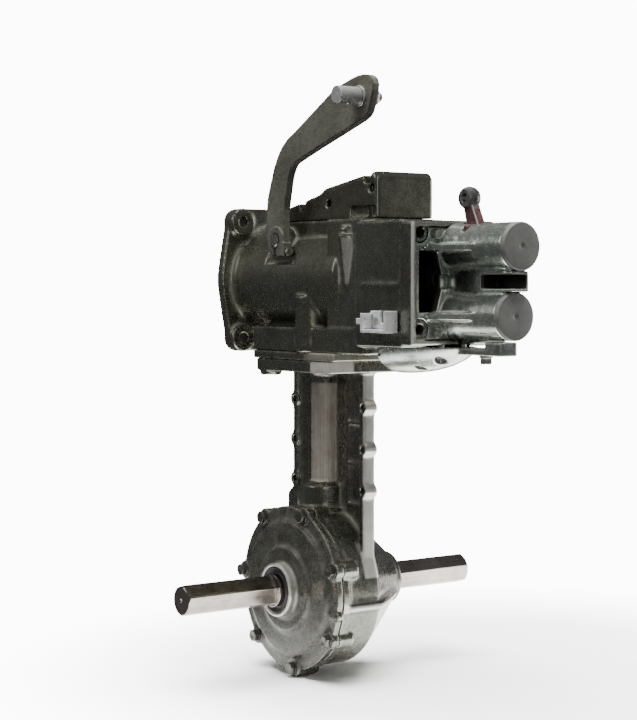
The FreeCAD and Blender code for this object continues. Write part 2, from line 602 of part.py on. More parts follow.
# ribs on the drum and the cone, and ears for the cover screws
COVER_ANGLES = [122 + 360 / 7 * k for k in range(7)]
SCREW_RAD = 71.5
ears = []
for a in COVER_ANGLES:
    x = num("column_x") + SCREW_RAD * math.cos(math.radians(a))
    z = num("axle_z") + SCREW_RAD * math.sin(math.radians(a))
    ears.append((round(x, 3), round(z, 3)))
    column_solids.append(cyl("y", x, "seam_y", z, 8, 16, "ear"))
column_solids.append(wedge([(140, -27, 0), (163.5, -27, 0), (163.5, 8, 0), (117, 60, 0), (100, 60, 0)],
                           "z", -291, 6, "rear_rib"))
column_hollow = [
    cyl("z", "column_x", 0, -240, "tube_bore", 180, "column_bore"),
    cyl("z", "column_x", 0, "plate_z-2", "race_rad", 10, "top_seat"),
    cyl("z", "column_x", 0, -240, "race_rad", 46, "low_seat"),
    cyl("z", "column_x", 0, -246, 20.6, 33, "low_pinion_room"),
    cyl("y", "column_x", "seam_y-1", "axle_z", 64, "drum_y-seam_y-4", "drum_room"),
    cone("y", "column_x", "drum_y-6", "axle_z", 64, 29, 40, "cone_room"),
    cyl("y", "column_x", 39, "axle_z", "axle_race", 14, "right_bearing_seat"),
    cyl("y", "column_x", 50, "axle_z", 18, 30, "right_clear"),
    cyl("y", "column_x", 63, "axle_z", 21, 10, "right_seal_seat"),
    cyl("x", 14, -14, "axle_z-36", 5, 28, "drain_hole"),
]
column_hollow += [cyl("z", x, y, "foot_z-1", 4.1, 20) for x, y in COLUMN_BOLTS]
column_hollow += [cyl("z", x, y, "foot_z-7", 7.2, 13) for x, y in COLUMN_BOLTS]
column_hollow += [cyl("y", x, "seam_y-1", z, 3.1, 14) for x, z in ears]
for z in LUGS:
    column_hollow.append(cyl("y", "rib_rear-1", -12, z - 3, 3, 24))
    column_hollow.append(cyl("y", "rib_front+1", -12, z, 3, 24))
part("column_housing", cut("column_housing", fuse("column_solid", column_solids), column_hollow))
part("column_flange_bolts", group("column_flange_bolts", [
    bolt("z", x, y, "foot_z+6", 4, 21, 12, 5.5) for x, y in COLUMN_BOLTS]))
part("drain_plug", fuse("drain_plug", [
    hexagon("x", 9.5, -14, "axle_z-36", 14, 5, "plug_head"),
    cyl("x", 14.5, -14, "axle_z-36", 8.5, 1, "plug_collar"),
    cyl("x", 15.5, -14, "axle_z-36", 4.95, 10, "plug_thread")]))

# ---------------------------------------------------------------- lower cover
cover_solids = [
    cyl("y", "column_x", "seam_y-7", "axle_z", "rim_rad", 6.2, "cover_rim"),
    cone("y", "column_x", "seam_y-11", "axle_z", "drum_rad-12", "drum_rad-7.3", 4.5, "cover_dome"),
    cone("y", "column_x", "left_disc_y", "axle_z", 38, 41, "seam_y-9-left_disc_y", "cover_disc"),
    cyl("y", "column_x", "left_collar_y", "axle_z", "collar_rad", 12, "cover_collar"),
]
for x, z in ears:
    cover_solids.append(cyl("y", x, "seam_y-8.5", z, 8, 7.7, "cover_ear"))
cover_solids.append(box(120, 163, -42, -34.8, -297, -291, "cover_side_rib"))
cover_hollow = [
    cyl("y", "column_x", -44, "axle_z", "axle_race", 13, "left_bearing_seat"),
    cyl("y", "column_x", -38, "axle_z", 60, 8, "cover_room"),
    cyl("y", "column_x", -70, "axle_z", 18, 40, "left_clear"),
    cyl("y", "column_x", "left_collar_y-1", "axle_z", 21, 8, "left_seal_seat"),
] + [cyl("y", x, "seam_y-14", z, 3.1, 20) for x, z in ears]
part("lower_cover", cut("lower_cover", fuse("lower_cover_solid", cover_solids), cover_hollow))
part("lower_cover_bolts", group("lower_cover_bolts", [
    bolt("y", x, "seam_y-8.5", z, 3, 18, 10, 4, 1) for x, z in ears]))
gasket = cut("lower_gasket", cyl("y", "column_x", "seam_y-0.8", "axle_z", "rim_rad", 0.8, "gasket_disc"),
             [cyl("y", "column_x", "seam_y-2", "axle_z", 64, 4)] + [cyl("y", x, "seam_y-2", z, 3.1, 4) for x, z in ears])
part("lower_gasket", gasket)

# ===================================================================== bearings
def bearing(name, axis, x, y, z, bore, rad, width, balls):
    """Ball bearing: outer ring, inner ring and balls as separate solids."""
    b, r = num(bore), num(rad)
    mid, ball = (b + r) / 2, (r - b) * 0.30
    ro, ri = mid + ball * 0.55, mid - ball * 0.55
    groove = Part.makeTorus(mid, ball * 1.01, V(0, 0, width / 2))
    solids = [ring(0, width, r, ro).cut(groove), ring(0, width, ri, b).cut(groove)]
    for k in range(balls):
        a = 2 * math.pi * k / balls
        solids.append(Part.makeSphere(ball * 0.99, V(mid * math.cos(a), mid * math.sin(a), width / 2)))
    return part(name, made(name, Part.makeCompound(solids), x, y, z, AXES[axis]))


bearing("input_bearing_front", "x", 121, 0, 0, "race_bore", "race_rad-0.02", 9, 9)
bearing("input_bearing_rear", "x", 252, 0, 0, "small_bore", "small_rad-0.02", 8, 8)
bearing("lower_bearing_front", "x", 111, 0, "lay_z", "small_bore", "small_rad-0.02", 8, 8)
bearing("lower_bearing_rear", "x", 312, 0, "lay_z", "race_bore", "race_rad-0.02", 9, 9)
bearing("column_bearing_top", "z", "column_x", 0, "plate_z-2", "race_bore", "race_rad-0.02", 9, 9)
bearing("column_bearing_bottom", "z", "column_x", 0, -203, "race_bore", "race_rad-0.02", 9, 9)
bearing("axle_bearing_left", "y", "column_x", -44, "axle_z", "axle_bore", "axle_race-0.02", 13, 11)
bearing("axle_bearing_right", "y", "column_x", 39, "axle_z", "axle_bore", "axle_race-0.02", 13, 11)
part("axle_seal_left", turned_y("axle_seal_left", [
    (15, "left_collar_y+0.5"), (20.95, "left_collar_y+0.5"), (20.95, "left_collar_y+6.5"), (19, "left_collar_y+6.5"),
    (19, "left_collar_y+2.5"), (15, "left_collar_y+2.5")], "column_x", "axle_z"))
part("axle_seal_right", turned_y("axle_seal_right", [
    (15, "boss_y-0.5"), (20.95, "boss_y-0.5"), (20.95, "boss_y-6.5"), (19, "boss_y-6.5"),
    (19, "boss_y-2.5"), (15, "boss_y-2.5")], "column_x", "axle_z"))
part("input_seal", turned_x("input_seal", [
    (95.3, "race_bore"), (95.3, 11.45), (100.3, 11.45), (100.3, 10), (97, 10), (97, "race_bore")]))

# ================================================================ input shaft
part("input_shaft", turned_x("input_shaft", [
    (6, 0), (6, 6.4), (7, "shaft_rad"), (249.5, "shaft_rad"), (249.5, 5.97), (262, 5.97), (263, 5), (263, 0)]))
part("input_pinion", made("input_pinion", spur(12, D["spur_mod"], 14, -90).cut(
    Part.makeCylinder(D["race_bore"], 14)), 178, 0, 0, TURN_X))
ALPHA = math.degrees(math.atan2(-13.61, 23.32))
BETA = math.degrees(math.atan2(-30 + 13.61, -23.32))
part("reverse_pinion", made("reverse_pinion", spur(16, D["rev_mod"], 12, ALPHA).cut(
    Part.makeCylinder(D["race_bore"], 12)), 136, 0, 0, TURN_X))
part("spring_retainer", turned_x("spring_retainer", [(8, "race_bore"), (8, 13), (10, 13), (10, "race_bore")]))
# coil spring round the shaft nose, between the retainer and the clutch hub
helix = Part.makeHelix(3.35, 9.9, 11)
wire_disc = Part.Wire(Part.makeCircle(0.95, V(11, 0, 0), V(0, 1, 0)))
coil = Part.Wire(helix).makePipeShell([wire_disc], True, True)
part("clutch_spring", made("clutch_spring", coil, 11.2, 0, 0, AXES["x"]))

# ================================================================ clutch parts
part("clutch_cone", turned_x("clutch_cone", [
    (23, "race_bore+0.02"), (23, 14), (26, 17), (26, 27), (14, 27), (14, 31), (40, 36), (40, 31.5),
    (32, 29.5), (32, 17), (36, 13), (66, 13), (66, "race_bore+0.02")]))
part("clutch_lining", turned_x("clutch_lining", [(14, 31), (14, 33.2), (40, 38.2), (40, 36)]))
part("release_collar", turned_x("release_collar", [
    (66.5, 12.05), (66.5, 17), (68, 18), (76.7, 18), (76.7, 15), (83.3, 15), (83.3, 18), (86.5, 18), (87.5, 17), (87.5, 12.05)]))

# ================================================================ clutch lever
part("clutch_fork", cut("clutch_fork", fuse("fork_solid", [
    cyl("y", "fork_x", -25, "fork_z", 8.6, 50, "fork_hub"),
    box("fork_x-4", "fork_x+4", -25, -18.5, -6, "fork_z", "fork_arm"),
    box("fork_x-4", "fork_x+4", 18.5, 25, -6, "fork_z", "fork_arm_right"),
    cyl("y", "fork_x", -19, 0, 3, 3.6, "fork_pad"),
    cyl("y", "fork_x", 15.4, 0, 3, 3.6, "fork_pad_right")]),
    [cyl("y", "fork_x", -30, "fork_z", "fork_rad", 60)]))
part("fork_shaft", turned_y("fork_shaft", [
    (0, -52.5), (5, -52.5), ("fork_rad", -51.5), ("fork_rad", 36.5), (5.2, 37.3), (0, 37.3)], "fork_x", "fork_z"))
lever_body = new("PartDesign::Body", "lever_plate")
lever_sketch = outline(lever_body, "XZ_Plane", [
    (64, 36), (64, 58), (65.6, 72), (68.5, 81), (72, 89.5), (75.5, 99), (80, 107), (84.5, 113.5), (89.5, 119), (96.5, 124.2),
    (105, 128.5), (125, 139.3), (144.4, 150), ("lever_tip_x-42", 159.6), ("lever_tip_x-30.5", 164.5), ("lever_tip_x-13.4", 169),
    ("lever_tip_x-4", 171), ("lever_tip_x+5", 171.4), ("lever_tip_x+12.5", 170.2), ("lever_tip_x+16.8", 167.2), ("lever_tip_x+18.8", 162),
    ("lever_tip_x+18.2", 157), ("lever_tip_x+16.4", 151.5), ("lever_tip_x+14", 144.5), ("lever_tip_x+11.5", 138.8),
    ("lever_tip_x+7", 135.2), ("lever_tip_x", 132.4), ("lever_tip_x-10.6", 129.2), (173.5, 123), (150.3, 116), (129.4, 109.4), (111.2, 103.5), (106.5, 101.6), (103.5, 98.6),
    (101, 94), (98.8, 88.3), (95.7, 75.1), (92.6, 62), (92.5, 35.3)])
lever_pad = lever_body.newObject("PartDesign::Pad", "lever_pad")
lever_pad.Profile = lever_sketch
lever_pad.setExpression("Length", expr("lever_thick"))
lever_pad.Midplane = True
lever_body.Tip = lever_pad
place(lever_body, 0, "lever_y", 0)
lever_hub = cyl("y", "fork_x", "lever_y-5", "fork_z", 12.5, 8.5, "lever_hub")
lever_clamp = box("fork_x-4", "fork_x+15", "lever_y-5", "lever_y+3.5", "fork_z-14", "fork_z-2", "lever_clamp")
lever_cuts = [
    cyl("y", "fork_x", -60, "fork_z", "fork_rad+0.02", 30),
    box("fork_x-0.8", "fork_x+0.8", -60, -30, "fork_z-20", "fork_z", "clamp_slit"),
    cyl("y", "lever_tip_x", -60, "lever_tip_z", 4.02, 30),
    cyl("x", "fork_x-20", "lever_y-1", "fork_z-10", 2.05, 40),
]
part("clutch_lever", cut("clutch_lever", fuse("lever_solid", [lever_body, lever_hub, lever_clamp]), lever_cuts))
part("lever_clamp_bolt", bolt("-x", "fork_x+15", "lever_y-1", "fork_z-10", 2, 26, 7, 3))
part("cable_swivel", cut("cable_swivel", fuse("swivel_solid", [
    cyl("y", "lever_tip_x", "lever_y-28", "lever_tip_z", 7.5, 23.9, "swivel_barrel"),
    cyl("y", "lever_tip_x", "lever_y-5.5", "lever_tip_z", 9, 2, "swivel_collar"),
    cyl("y", "lever_tip_x", "lever_y-6", "lever_tip_z", 4, 24, "swivel_stem")]),
    [cyl("z", "lever_tip_x", "lever_y-16", "lever_tip_z-10", 1.6, 20)]))
part("cable_swivel_nut", cut("cable_swivel_nut", fuse("swivel_nut_solid", [
    cyl("y", "lever_tip_x", "lever_y+3.5", "lever_tip_z", 9.8, 1.8, "nut_washer"),
    hexagon("y", "lever_tip_x", "lever_y+5.3", "lever_tip_z", 16, 6.7, "nut_hex")]),
    [cyl("y", "lever_tip_x", "lever_y", "lever_tip_z", 4.02, 20)]))

# ======================================================= lower shaft and gears
part("lower_shaft", turned_x("lower_shaft", [
    (103, 0), (103, 4.97), (111, 4.97), (111, 5.97), (119.2, 5.97), (119.2, "shaft_rad"), (323, "shaft_rad"), (324, 6.5), (324, 0)],
    0, "lay_z"))
FACE_UP = 7.0
teeth, low, tip, k = bevel(13, 20, D["bevel_mod"], FACE_UP, 0)
pin = teeth.fuse(ring(low.z - 2.5, 2.5 + 110.6 - 88 - low.z, low.x - 1.2)).cut(Part.makeCylinder(5, 60))
# local +z to +X, local x to -Z: phase 180 puts a tooth at the mesh line
ALONG_X = R(V(0, 1, 0), 90)
part("upper_bevel_pinion", made("upper_bevel_pinion", pin.removeSplitter(), "column_x", 0, "lay_z", ALONG_X))


def dogs(z0, length, phase):
    out = []
    for q in range(4):
        seg = Part.makeCylinder(11.2, length, V(0, 0, z0), V(0, 0, 1), 40).cut(Part.makeCylinder(9.3, length, V(0, 0, z0)))
        seg.rotate(V(0, 0, 0), V(0, 0, 1), phase + 90 * q - 20)
        out.append(seg)
    return out


fwd = spur(18, D["spur_mod"], 14, 100)
fwd = fwd.fuse([ring(-2.8, 5.8, 15.5)] + dogs(-5.6, 2.9, 45)).cut(Part.makeCylinder(D["race_bore"] + 0.02, 40, V(0, 0, -10)))
part("forward_gear", made("forward_gear", fwd.removeSplitter(), 178, 0, "lay_z", TURN_X))
idler_phase = (ALPHA + 180) + 9
delta = (BETA - idler_phase) % 18
rev_phase = BETA + 180 + delta * 20 / 18 + 10
rev = spur(18, D["rev_mod"], 12, rev_phase)
rev = rev.fuse(ring(12, 3.8, 14)).cut(ring(12.7, 4, 11.7, 8.9)).cut(Part.makeCylinder(D["race_bore"] + 0.02, 40, V(0, 0, -10)))
part("reverse_gear", made("reverse_gear", rev.removeSplitter(), 136, 0, "lay_z", TURN_X))
idler = spur(20, D["rev_mod"], 10, idler_phase).fuse(ring(-6, 18, 8)).cut(Part.makeCylinder(5.04, 40, V(0, 0, -10)))
part("reverse_idler", made("reverse_idler", idler.removeSplitter(), 137, 23.32, -13.61, TURN_X))
part("idler_shaft", turned_x("idler_shaft", [
    (122.2, 0), (122.2, 5), (149.4, 5), (149.4, 7), (152, 7), (152, 0)], 23.32, -13.61))
sleeve = ring(0, 12, 15).cut(ring(3, 6, 16, 12)).fuse(dogs(-3, 3.1, 0) + dogs(11.9, 3.0, 0))
sleeve = sleeve.cut(Part.makeCylinder(D["race_bore"] + 0.02, 40, V(0, 0, -10)))
part("dog_sleeve", made("dog_sleeve", sleeve.removeSplitter(), "sleeve_x", 0, "lay_z", TURN_X))

# ============================================================== shift mechanism
part("shift_rail", cut("shift_rail", turned_x("rail_rod", [
    (148, 0), (148, 7), (149, 8.05), (330, 8.05), (331, 7), (331, 0)], 0, "rail_z"),
    [box("shift_x+4.28-3", "shift_x+4.28+3", -10, 10, "rail_z-0.5", "rail_z+10", "rail_notch"),
     box("shift_x+4.28-6", "shift_x+4.28+6", -10, 10, "rail_z+4.5", "rail_z+10", "rail_relief")]))
fork = fuse("shift_fork_solid", [
    cyl("x", "sleeve_x+3.3", 0, "rail_z", 13, 5.4, "shift_fork_hub"),
    cyl("x", "sleeve_x-1", 0, "rail_z", 11.5, 14, "shift_fork_tube"),
    box("sleeve_x+3.3", "sleeve_x+8.7", -24, -10, "lay_z", "rail_z+4", "shift_fork_arm"),
    cyl("x", "sleeve_x+3.3", 0, "lay_z", 20, 5.4, "shift_fork_ring"),
])
part("shift_fork", cut("shift_fork", fork, [
    cyl("x", "sleeve_x-5", 0, "rail_z", 8.05, 30),
    cyl("x", "sleeve_x-5", 0, "lay_z", 12.3, 30),
    box("sleeve_x-5", "sleeve_x+20", -9.5, 40, "lay_z-3", 11, "fork_gap"),
    box("sleeve_x-5", "sleeve_x+20", 4, 40, "lay_z-30", 12, "fork_open_side"),
]))
# the lever is built upright on its pivot, then leant forward
stem = fuse("shift_lever_solid", [
    wedge([(-7, 0, 1), (7, 0, 1), (5, 0, 23), (-5, 0, 23)], "y", -4.2, 8.4, "lever_stem"),
    cyl("y", 0, -4.4, 0, 5, 8.8, "lever_pivot_eye"),
    box(-1.7, 1.7, -3.5, 3.5, -12.5, 0, "lever_finger"),
    cyl("y", 0, -3.5, -12.5, 2.6, 7, "finger_end"),
])
head = new("Part::Sphere", "lever_head")
head.Radius = 9.5
place(head, 0, 0, 27)
head_flat = new("Part::MultiCommon", "lever_head_flat")
head_flat.Shapes = [head, box(-12, 12, -6, 6, 15, 39, "head_limits")]
lever_top = cut("shift_lever_top", fuse("shift_lever_blank", [stem, head_flat]), [
    cyl("y", 0, -12, 27, 3.5, 24, "rod_eye"), cyl("y", 0, -12, 0, 3.03, 24, "pivot_eye")])
lever_top.Placement.Rotation = R(V(0, 1, 0), -D["shift_tilt"])
lever_top.setExpression("Placement.Base.x", expr("shift_x"))
lever_top.setExpression("Placement.Base.z", expr("shift_z"))
part("shift_lever", lever_top)
part("shift_pivot_pin", turned_y("shift_pivot_pin", [
    (0, -12.4), (2, -12.4), (2.97, -11.6), (2.97, 11.6), (2, 12.4), (0, 12.4)], "shift_x", "shift_z"))

# ============================================================== vertical shaft
FACE_LOW = 13.0
shaft = new("PartDesign::Body", "column_shaft")
shaft_sketch = outline(shaft, "XZ_Plane", [
    (0, -47), (6, -47), (7, -48), ("shaft_rad", -48.5), ("shaft_rad", -213), (10.5, -213), (10.5, -226), (0, -226)])
shaft_turn = shaft.newObject("PartDesign::Revolution", "shaft_turn")
shaft_turn.Profile = shaft_sketch
shaft_turn.ReferenceAxis = (shaft_sketch, ["V_Axis"])
shaft.Tip = shaft_turn
place(shaft, "column_x", 0, 0)
teeth2, low2, tip2, k2 = bevel(11, 36, D["final_mod"], FACE_LOW, -90)
# axis up: the pinion stands above the apex
low_pinion = made("lower_pinion_teeth", teeth2, "column_x", 0, "axle_z", R())
part("vertical_shaft", fuse("vertical_shaft", [shaft, low_pinion]))
# upper gear on the vertical shaft, below the apex: local +z down, x kept
DOWN = R(V(1, 0, 0), 180)
teeth3, low3, tip3, k3 = bevel(20, 13, D["bevel_mod"], FACE_UP, 9)
gear3 = teeth3.fuse(ring(low3.z - 2.0, 31.5 - low3.z + 2.0, 11)).cut(Part.makeCylinder(D["race_bore"], 60))
part("upper_bevel_gear", made("upper_bevel_gear", gear3.removeSplitter(), "column_x", 0, "lay_z", DOWN))

# ======================================================================== axle
# crown wheel on the -Y side: local +z to -Y
TO_LEFT = AXES["-y"]
teeth4, low4, tip4, k4 = bevel(36, 11, D["final_mod"], FACE_LOW, 0)
up = TO_LEFT.inverted().multVec(V(0, 0, 1))
crown_phase = math.degrees(math.atan2(up.y, up.x)) + 5
teeth4, low4, tip4, k4 = bevel(36, 11, D["final_mod"], FACE_LOW, crown_phase)
crown = teeth4.fuse([ring(low4.z - 0.5, 5.5, low4.x - 1.5), ring(low4.z - 2, 30.2 - low4.z, 24)])
crown = crown.cut(Part.makeCylinder(17.5, 80, V(0, 0, -10)))
holes = []
for q in range(6):
    a = math.radians(60 * q + 30)
    holes.append(Part.makeCylinder(4, 80, V(33 * math.cos(a), 33 * math.sin(a), -10)))
crown = crown.cut(holes)
part("crown_wheel", made("crown_wheel", crown.removeSplitter(), "column_x", 0, "axle_z", TO_LEFT))
axle = fuse("axle_solid", [
    hexagon("y", 0, "-axle_left", 0, "hex_flats", "axle_left-60", "hex_left", 17.4),
    hexagon("y", 0, 72, 0, "hex_flats", "axle_right-72", "hex_right", 17.4),
    cyl("y", 0, -61, 0, "journal_rad", 135, "journal"),
    cyl("y", 0, -30.8, 0, 17.45, 69.6, "crown_seat"),
])
end_trim = cut("axle_trim", axle, [
    cut("end_ring", cyl("y", 0, "-axle_left-1", 0, 20, 3, "end_disc"), [cone("y", 0, "-axle_left-1", 0, 11.5, 14.5, 3, "end_cone")]),
    cut("end_ring_right", cyl("y", 0, "axle_right-2", 0, 20, 3, "end_disc_right"), [cone("y", 0, "axle_right-2", 0, 14.5, 11.5, 3, "end_cone_right")]),
])
place(end_trim, "column_x", 0, "axle_z", R(V(0, 1, 0), 8))
part("tine_axle", end_trim)

# ------------------------------------------------------------- check and write
doc.recompute()
problems = []
for o in doc.Objects:
    if "Invalid" in o.State or "Error" in o.State:
        problems.append("%s (%s): %s" % (o.Name, o.Label, o.State))
for o in NODES:
    if o.Shape.isNull() or not o.Shape.isValid() or not o.Shape.Solids:
        problems.append("%s: bad shape" % o.Label)
if problems:
    raise SystemExit("\n".join(problems))
os.makedirs("parts", exist_ok=True)
for o in NODES:
    o.Shape.exportStep(os.path.join("parts", o.Label + ".step"))
    b = o.Shape.BoundBox
    print("%-24s %3d solids %9.0f mm3  x %7.1f %7.1f  y %7.1f %7.1f  z %7.1f %7.1f" % (
        o.Label, len(o.Shape.Solids), o.Shape.Volume, b.XMin, b.XMax, b.YMin, b.YMax, b.ZMin, b.ZMax))
print(len(NODES), "sub-parts")
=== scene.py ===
import json
import math
import random

import bmesh
import bpy
import numpy as np
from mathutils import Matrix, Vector


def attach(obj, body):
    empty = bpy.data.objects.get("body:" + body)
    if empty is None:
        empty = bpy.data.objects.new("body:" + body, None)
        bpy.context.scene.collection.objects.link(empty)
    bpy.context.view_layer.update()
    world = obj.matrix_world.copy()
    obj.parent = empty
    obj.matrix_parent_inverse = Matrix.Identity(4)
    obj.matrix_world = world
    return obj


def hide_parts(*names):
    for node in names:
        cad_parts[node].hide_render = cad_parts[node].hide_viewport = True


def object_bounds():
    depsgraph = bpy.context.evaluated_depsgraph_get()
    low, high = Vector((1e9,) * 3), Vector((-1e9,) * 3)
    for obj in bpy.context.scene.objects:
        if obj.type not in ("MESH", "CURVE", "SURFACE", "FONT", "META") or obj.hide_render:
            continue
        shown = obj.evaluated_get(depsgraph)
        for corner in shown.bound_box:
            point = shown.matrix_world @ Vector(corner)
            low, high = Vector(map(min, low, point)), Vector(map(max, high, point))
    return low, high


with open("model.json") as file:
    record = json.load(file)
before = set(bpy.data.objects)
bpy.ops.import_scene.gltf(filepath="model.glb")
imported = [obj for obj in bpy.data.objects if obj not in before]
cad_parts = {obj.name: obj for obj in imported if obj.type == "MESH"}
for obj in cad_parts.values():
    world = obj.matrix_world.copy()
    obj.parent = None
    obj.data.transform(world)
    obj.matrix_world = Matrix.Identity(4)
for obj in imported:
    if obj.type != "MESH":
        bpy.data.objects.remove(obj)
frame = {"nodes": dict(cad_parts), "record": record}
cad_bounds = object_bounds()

# Tiller gearbox: the castings are re-surfaced with soft cast edges and
# fillets, the turned and hexagonal pieces are rebuilt with real chamfers, and
# every surface gets a procedural material. Metres, in the frame of the model.

RNG = random.Random(7)
NODES = frame["nodes"]
RECORD = frame["record"]
BODY = {n: b for b, names in RECORD["behaviour"]["bodies"].items() for n in names}
SLOT = {s["node"]: s["material_slot"] for s in RECORD["subparts"]}
SCENE = bpy.context.scene
MM = 0.001
COARSE = 1.0


# ------------------------------------------------------------------ materials
class Mat:
    """A Principled material with short helpers for its node graph."""

    def __init__(self, name):
        self.m = bpy.data.materials.new(name)
        self.m.use_nodes = True
        self.t = self.m.node_tree
        self.t.nodes.clear()
        out = self.node("ShaderNodeOutputMaterial")
        self.b = self.node("ShaderNodeBsdfPrincipled")
        self.t.links.new(self.b.outputs["BSDF"], out.inputs["Surface"])
        self.co = self.node("ShaderNodeTexCoord").outputs["Object"]

    def node(self, kind, **props):
        n = self.t.nodes.new(kind)
        for k, v in props.items():
            setattr(n, k, v)
        return n

    def put(self, sock, v):
        if isinstance(v, bpy.types.NodeSocket):
            self.t.links.new(v, sock)
        else:
            sock.default_value = v

    def set(self, name, v):
        self.put(self.b.inputs[name], v)

    def attr(self, name):
        return self.node("ShaderNodeAttribute", attribute_name=name).outputs["Fac"]

    def stretch(self, x, y, z, vec=None):
        n = self.node("ShaderNodeVectorMath", operation="MULTIPLY")
        self.put(n.inputs[0], vec or self.co)
        n.inputs[1].default_value = (x, y, z)
        return n.outputs[0]

    def noise(self, scale, detail=4, rough=0.55, vec=None, distort=0.0):
        n = self.node("ShaderNodeTexNoise")
        self.put(n.inputs["Vector"], vec or self.co)
        n.inputs["Scale"].default_value = scale
        n.inputs["Detail"].default_value = detail
        n.inputs["Roughness"].default_value = rough
        n.inputs["Distortion"].default_value = distort
        return n.outputs["Fac"]

    def cells(self, scale, vec=None, feature="F1"):
        n = self.node("ShaderNodeTexVoronoi", feature=feature)
        self.put(n.inputs["Vector"], vec or self.co)
        n.inputs["Scale"].default_value = scale
        return n

    def math(self, op, a, b=0.0, clamp=False):
        n = self.node("ShaderNodeMath", operation=op, use_clamp=clamp)
        self.put(n.inputs[0], a)
        if op not in ("SQRT", "ABSOLUTE", "FRACT"):
            self.put(n.inputs[1], b)
        return n.outputs[0]

    def span(self, v, a, b, c=0.0, d=1.0, kind="LINEAR"):
        n = self.node("ShaderNodeMapRange", interpolation_type=kind)
        self.put(n.inputs["Value"], v)
        for k, x in (("From Min", a), ("From Max", b), ("To Min", c), ("To Max", d)):
            n.inputs[k].default_value = x
        return n.outputs["Result"]

    def mix(self, fac, a, b, blend="MIX"):
        n = self.node("ShaderNodeMix", data_type="RGBA", blend_type=blend)
        self.put(n.inputs["Factor"], fac)
        self.put(n.inputs["A"], a if isinstance(a, bpy.types.NodeSocket) else (*a, 1))
        self.put(n.inputs["B"], b if isinstance(b, bpy.types.NodeSocket) else (*b, 1))
        return n.outputs["Result"]

    def blendf(self, fac, a, b):
        n = self.node("ShaderNodeMix", data_type="FLOAT")
        self.put(n.inputs[0], fac)
        self.put(n.inputs[2], a)
        self.put(n.inputs[3], b)
        return n.outputs[0]

    def bump(self, height, strength, dist, normal=None):
        n = self.node("ShaderNodeBump")
        n.inputs["Strength"].default_value = strength
        n.inputs["Distance"].default_value = dist
        self.put(n.inputs["Height"], height)
        if normal is not None:
            self.put(n.inputs["Normal"], normal)
        return n.outputs["Normal"]

    def xyz(self, vec=None):
        n = self.node("ShaderNodeSeparateXYZ")
        self.put(n.inputs[0], vec or self.co)
        return n.outputs

    def radius(self, axis, cx, cy):
        """Distance from an axis line through (cx, cy) in the plane across it."""
        s = self.xyz()
        i, j = {"X": ("Y", "Z"), "Y": ("X", "Z"), "Z": ("X", "Y")}[axis]
        a = self.math("SUBTRACT", s[i], cx)
        b = self.math("SUBTRACT", s[j], cy)
        return self.math("SQRT", self.math("ADD", self.math("MULTIPLY", a, a), self.math("MULTIPLY", b, b)))

    def line_noise(self, value, scale, detail=3):
        """Random lines that depend on one number only, such as tool marks."""
        n = self.node("ShaderNodeTexNoise", noise_dimensions="1D")
        self.put(n.inputs["W"], value)
        n.inputs["Scale"].default_value = scale
        n.inputs["Detail"].default_value = detail
        n.inputs["Roughness"].default_value = 0.7
        return n.outputs["Fac"]


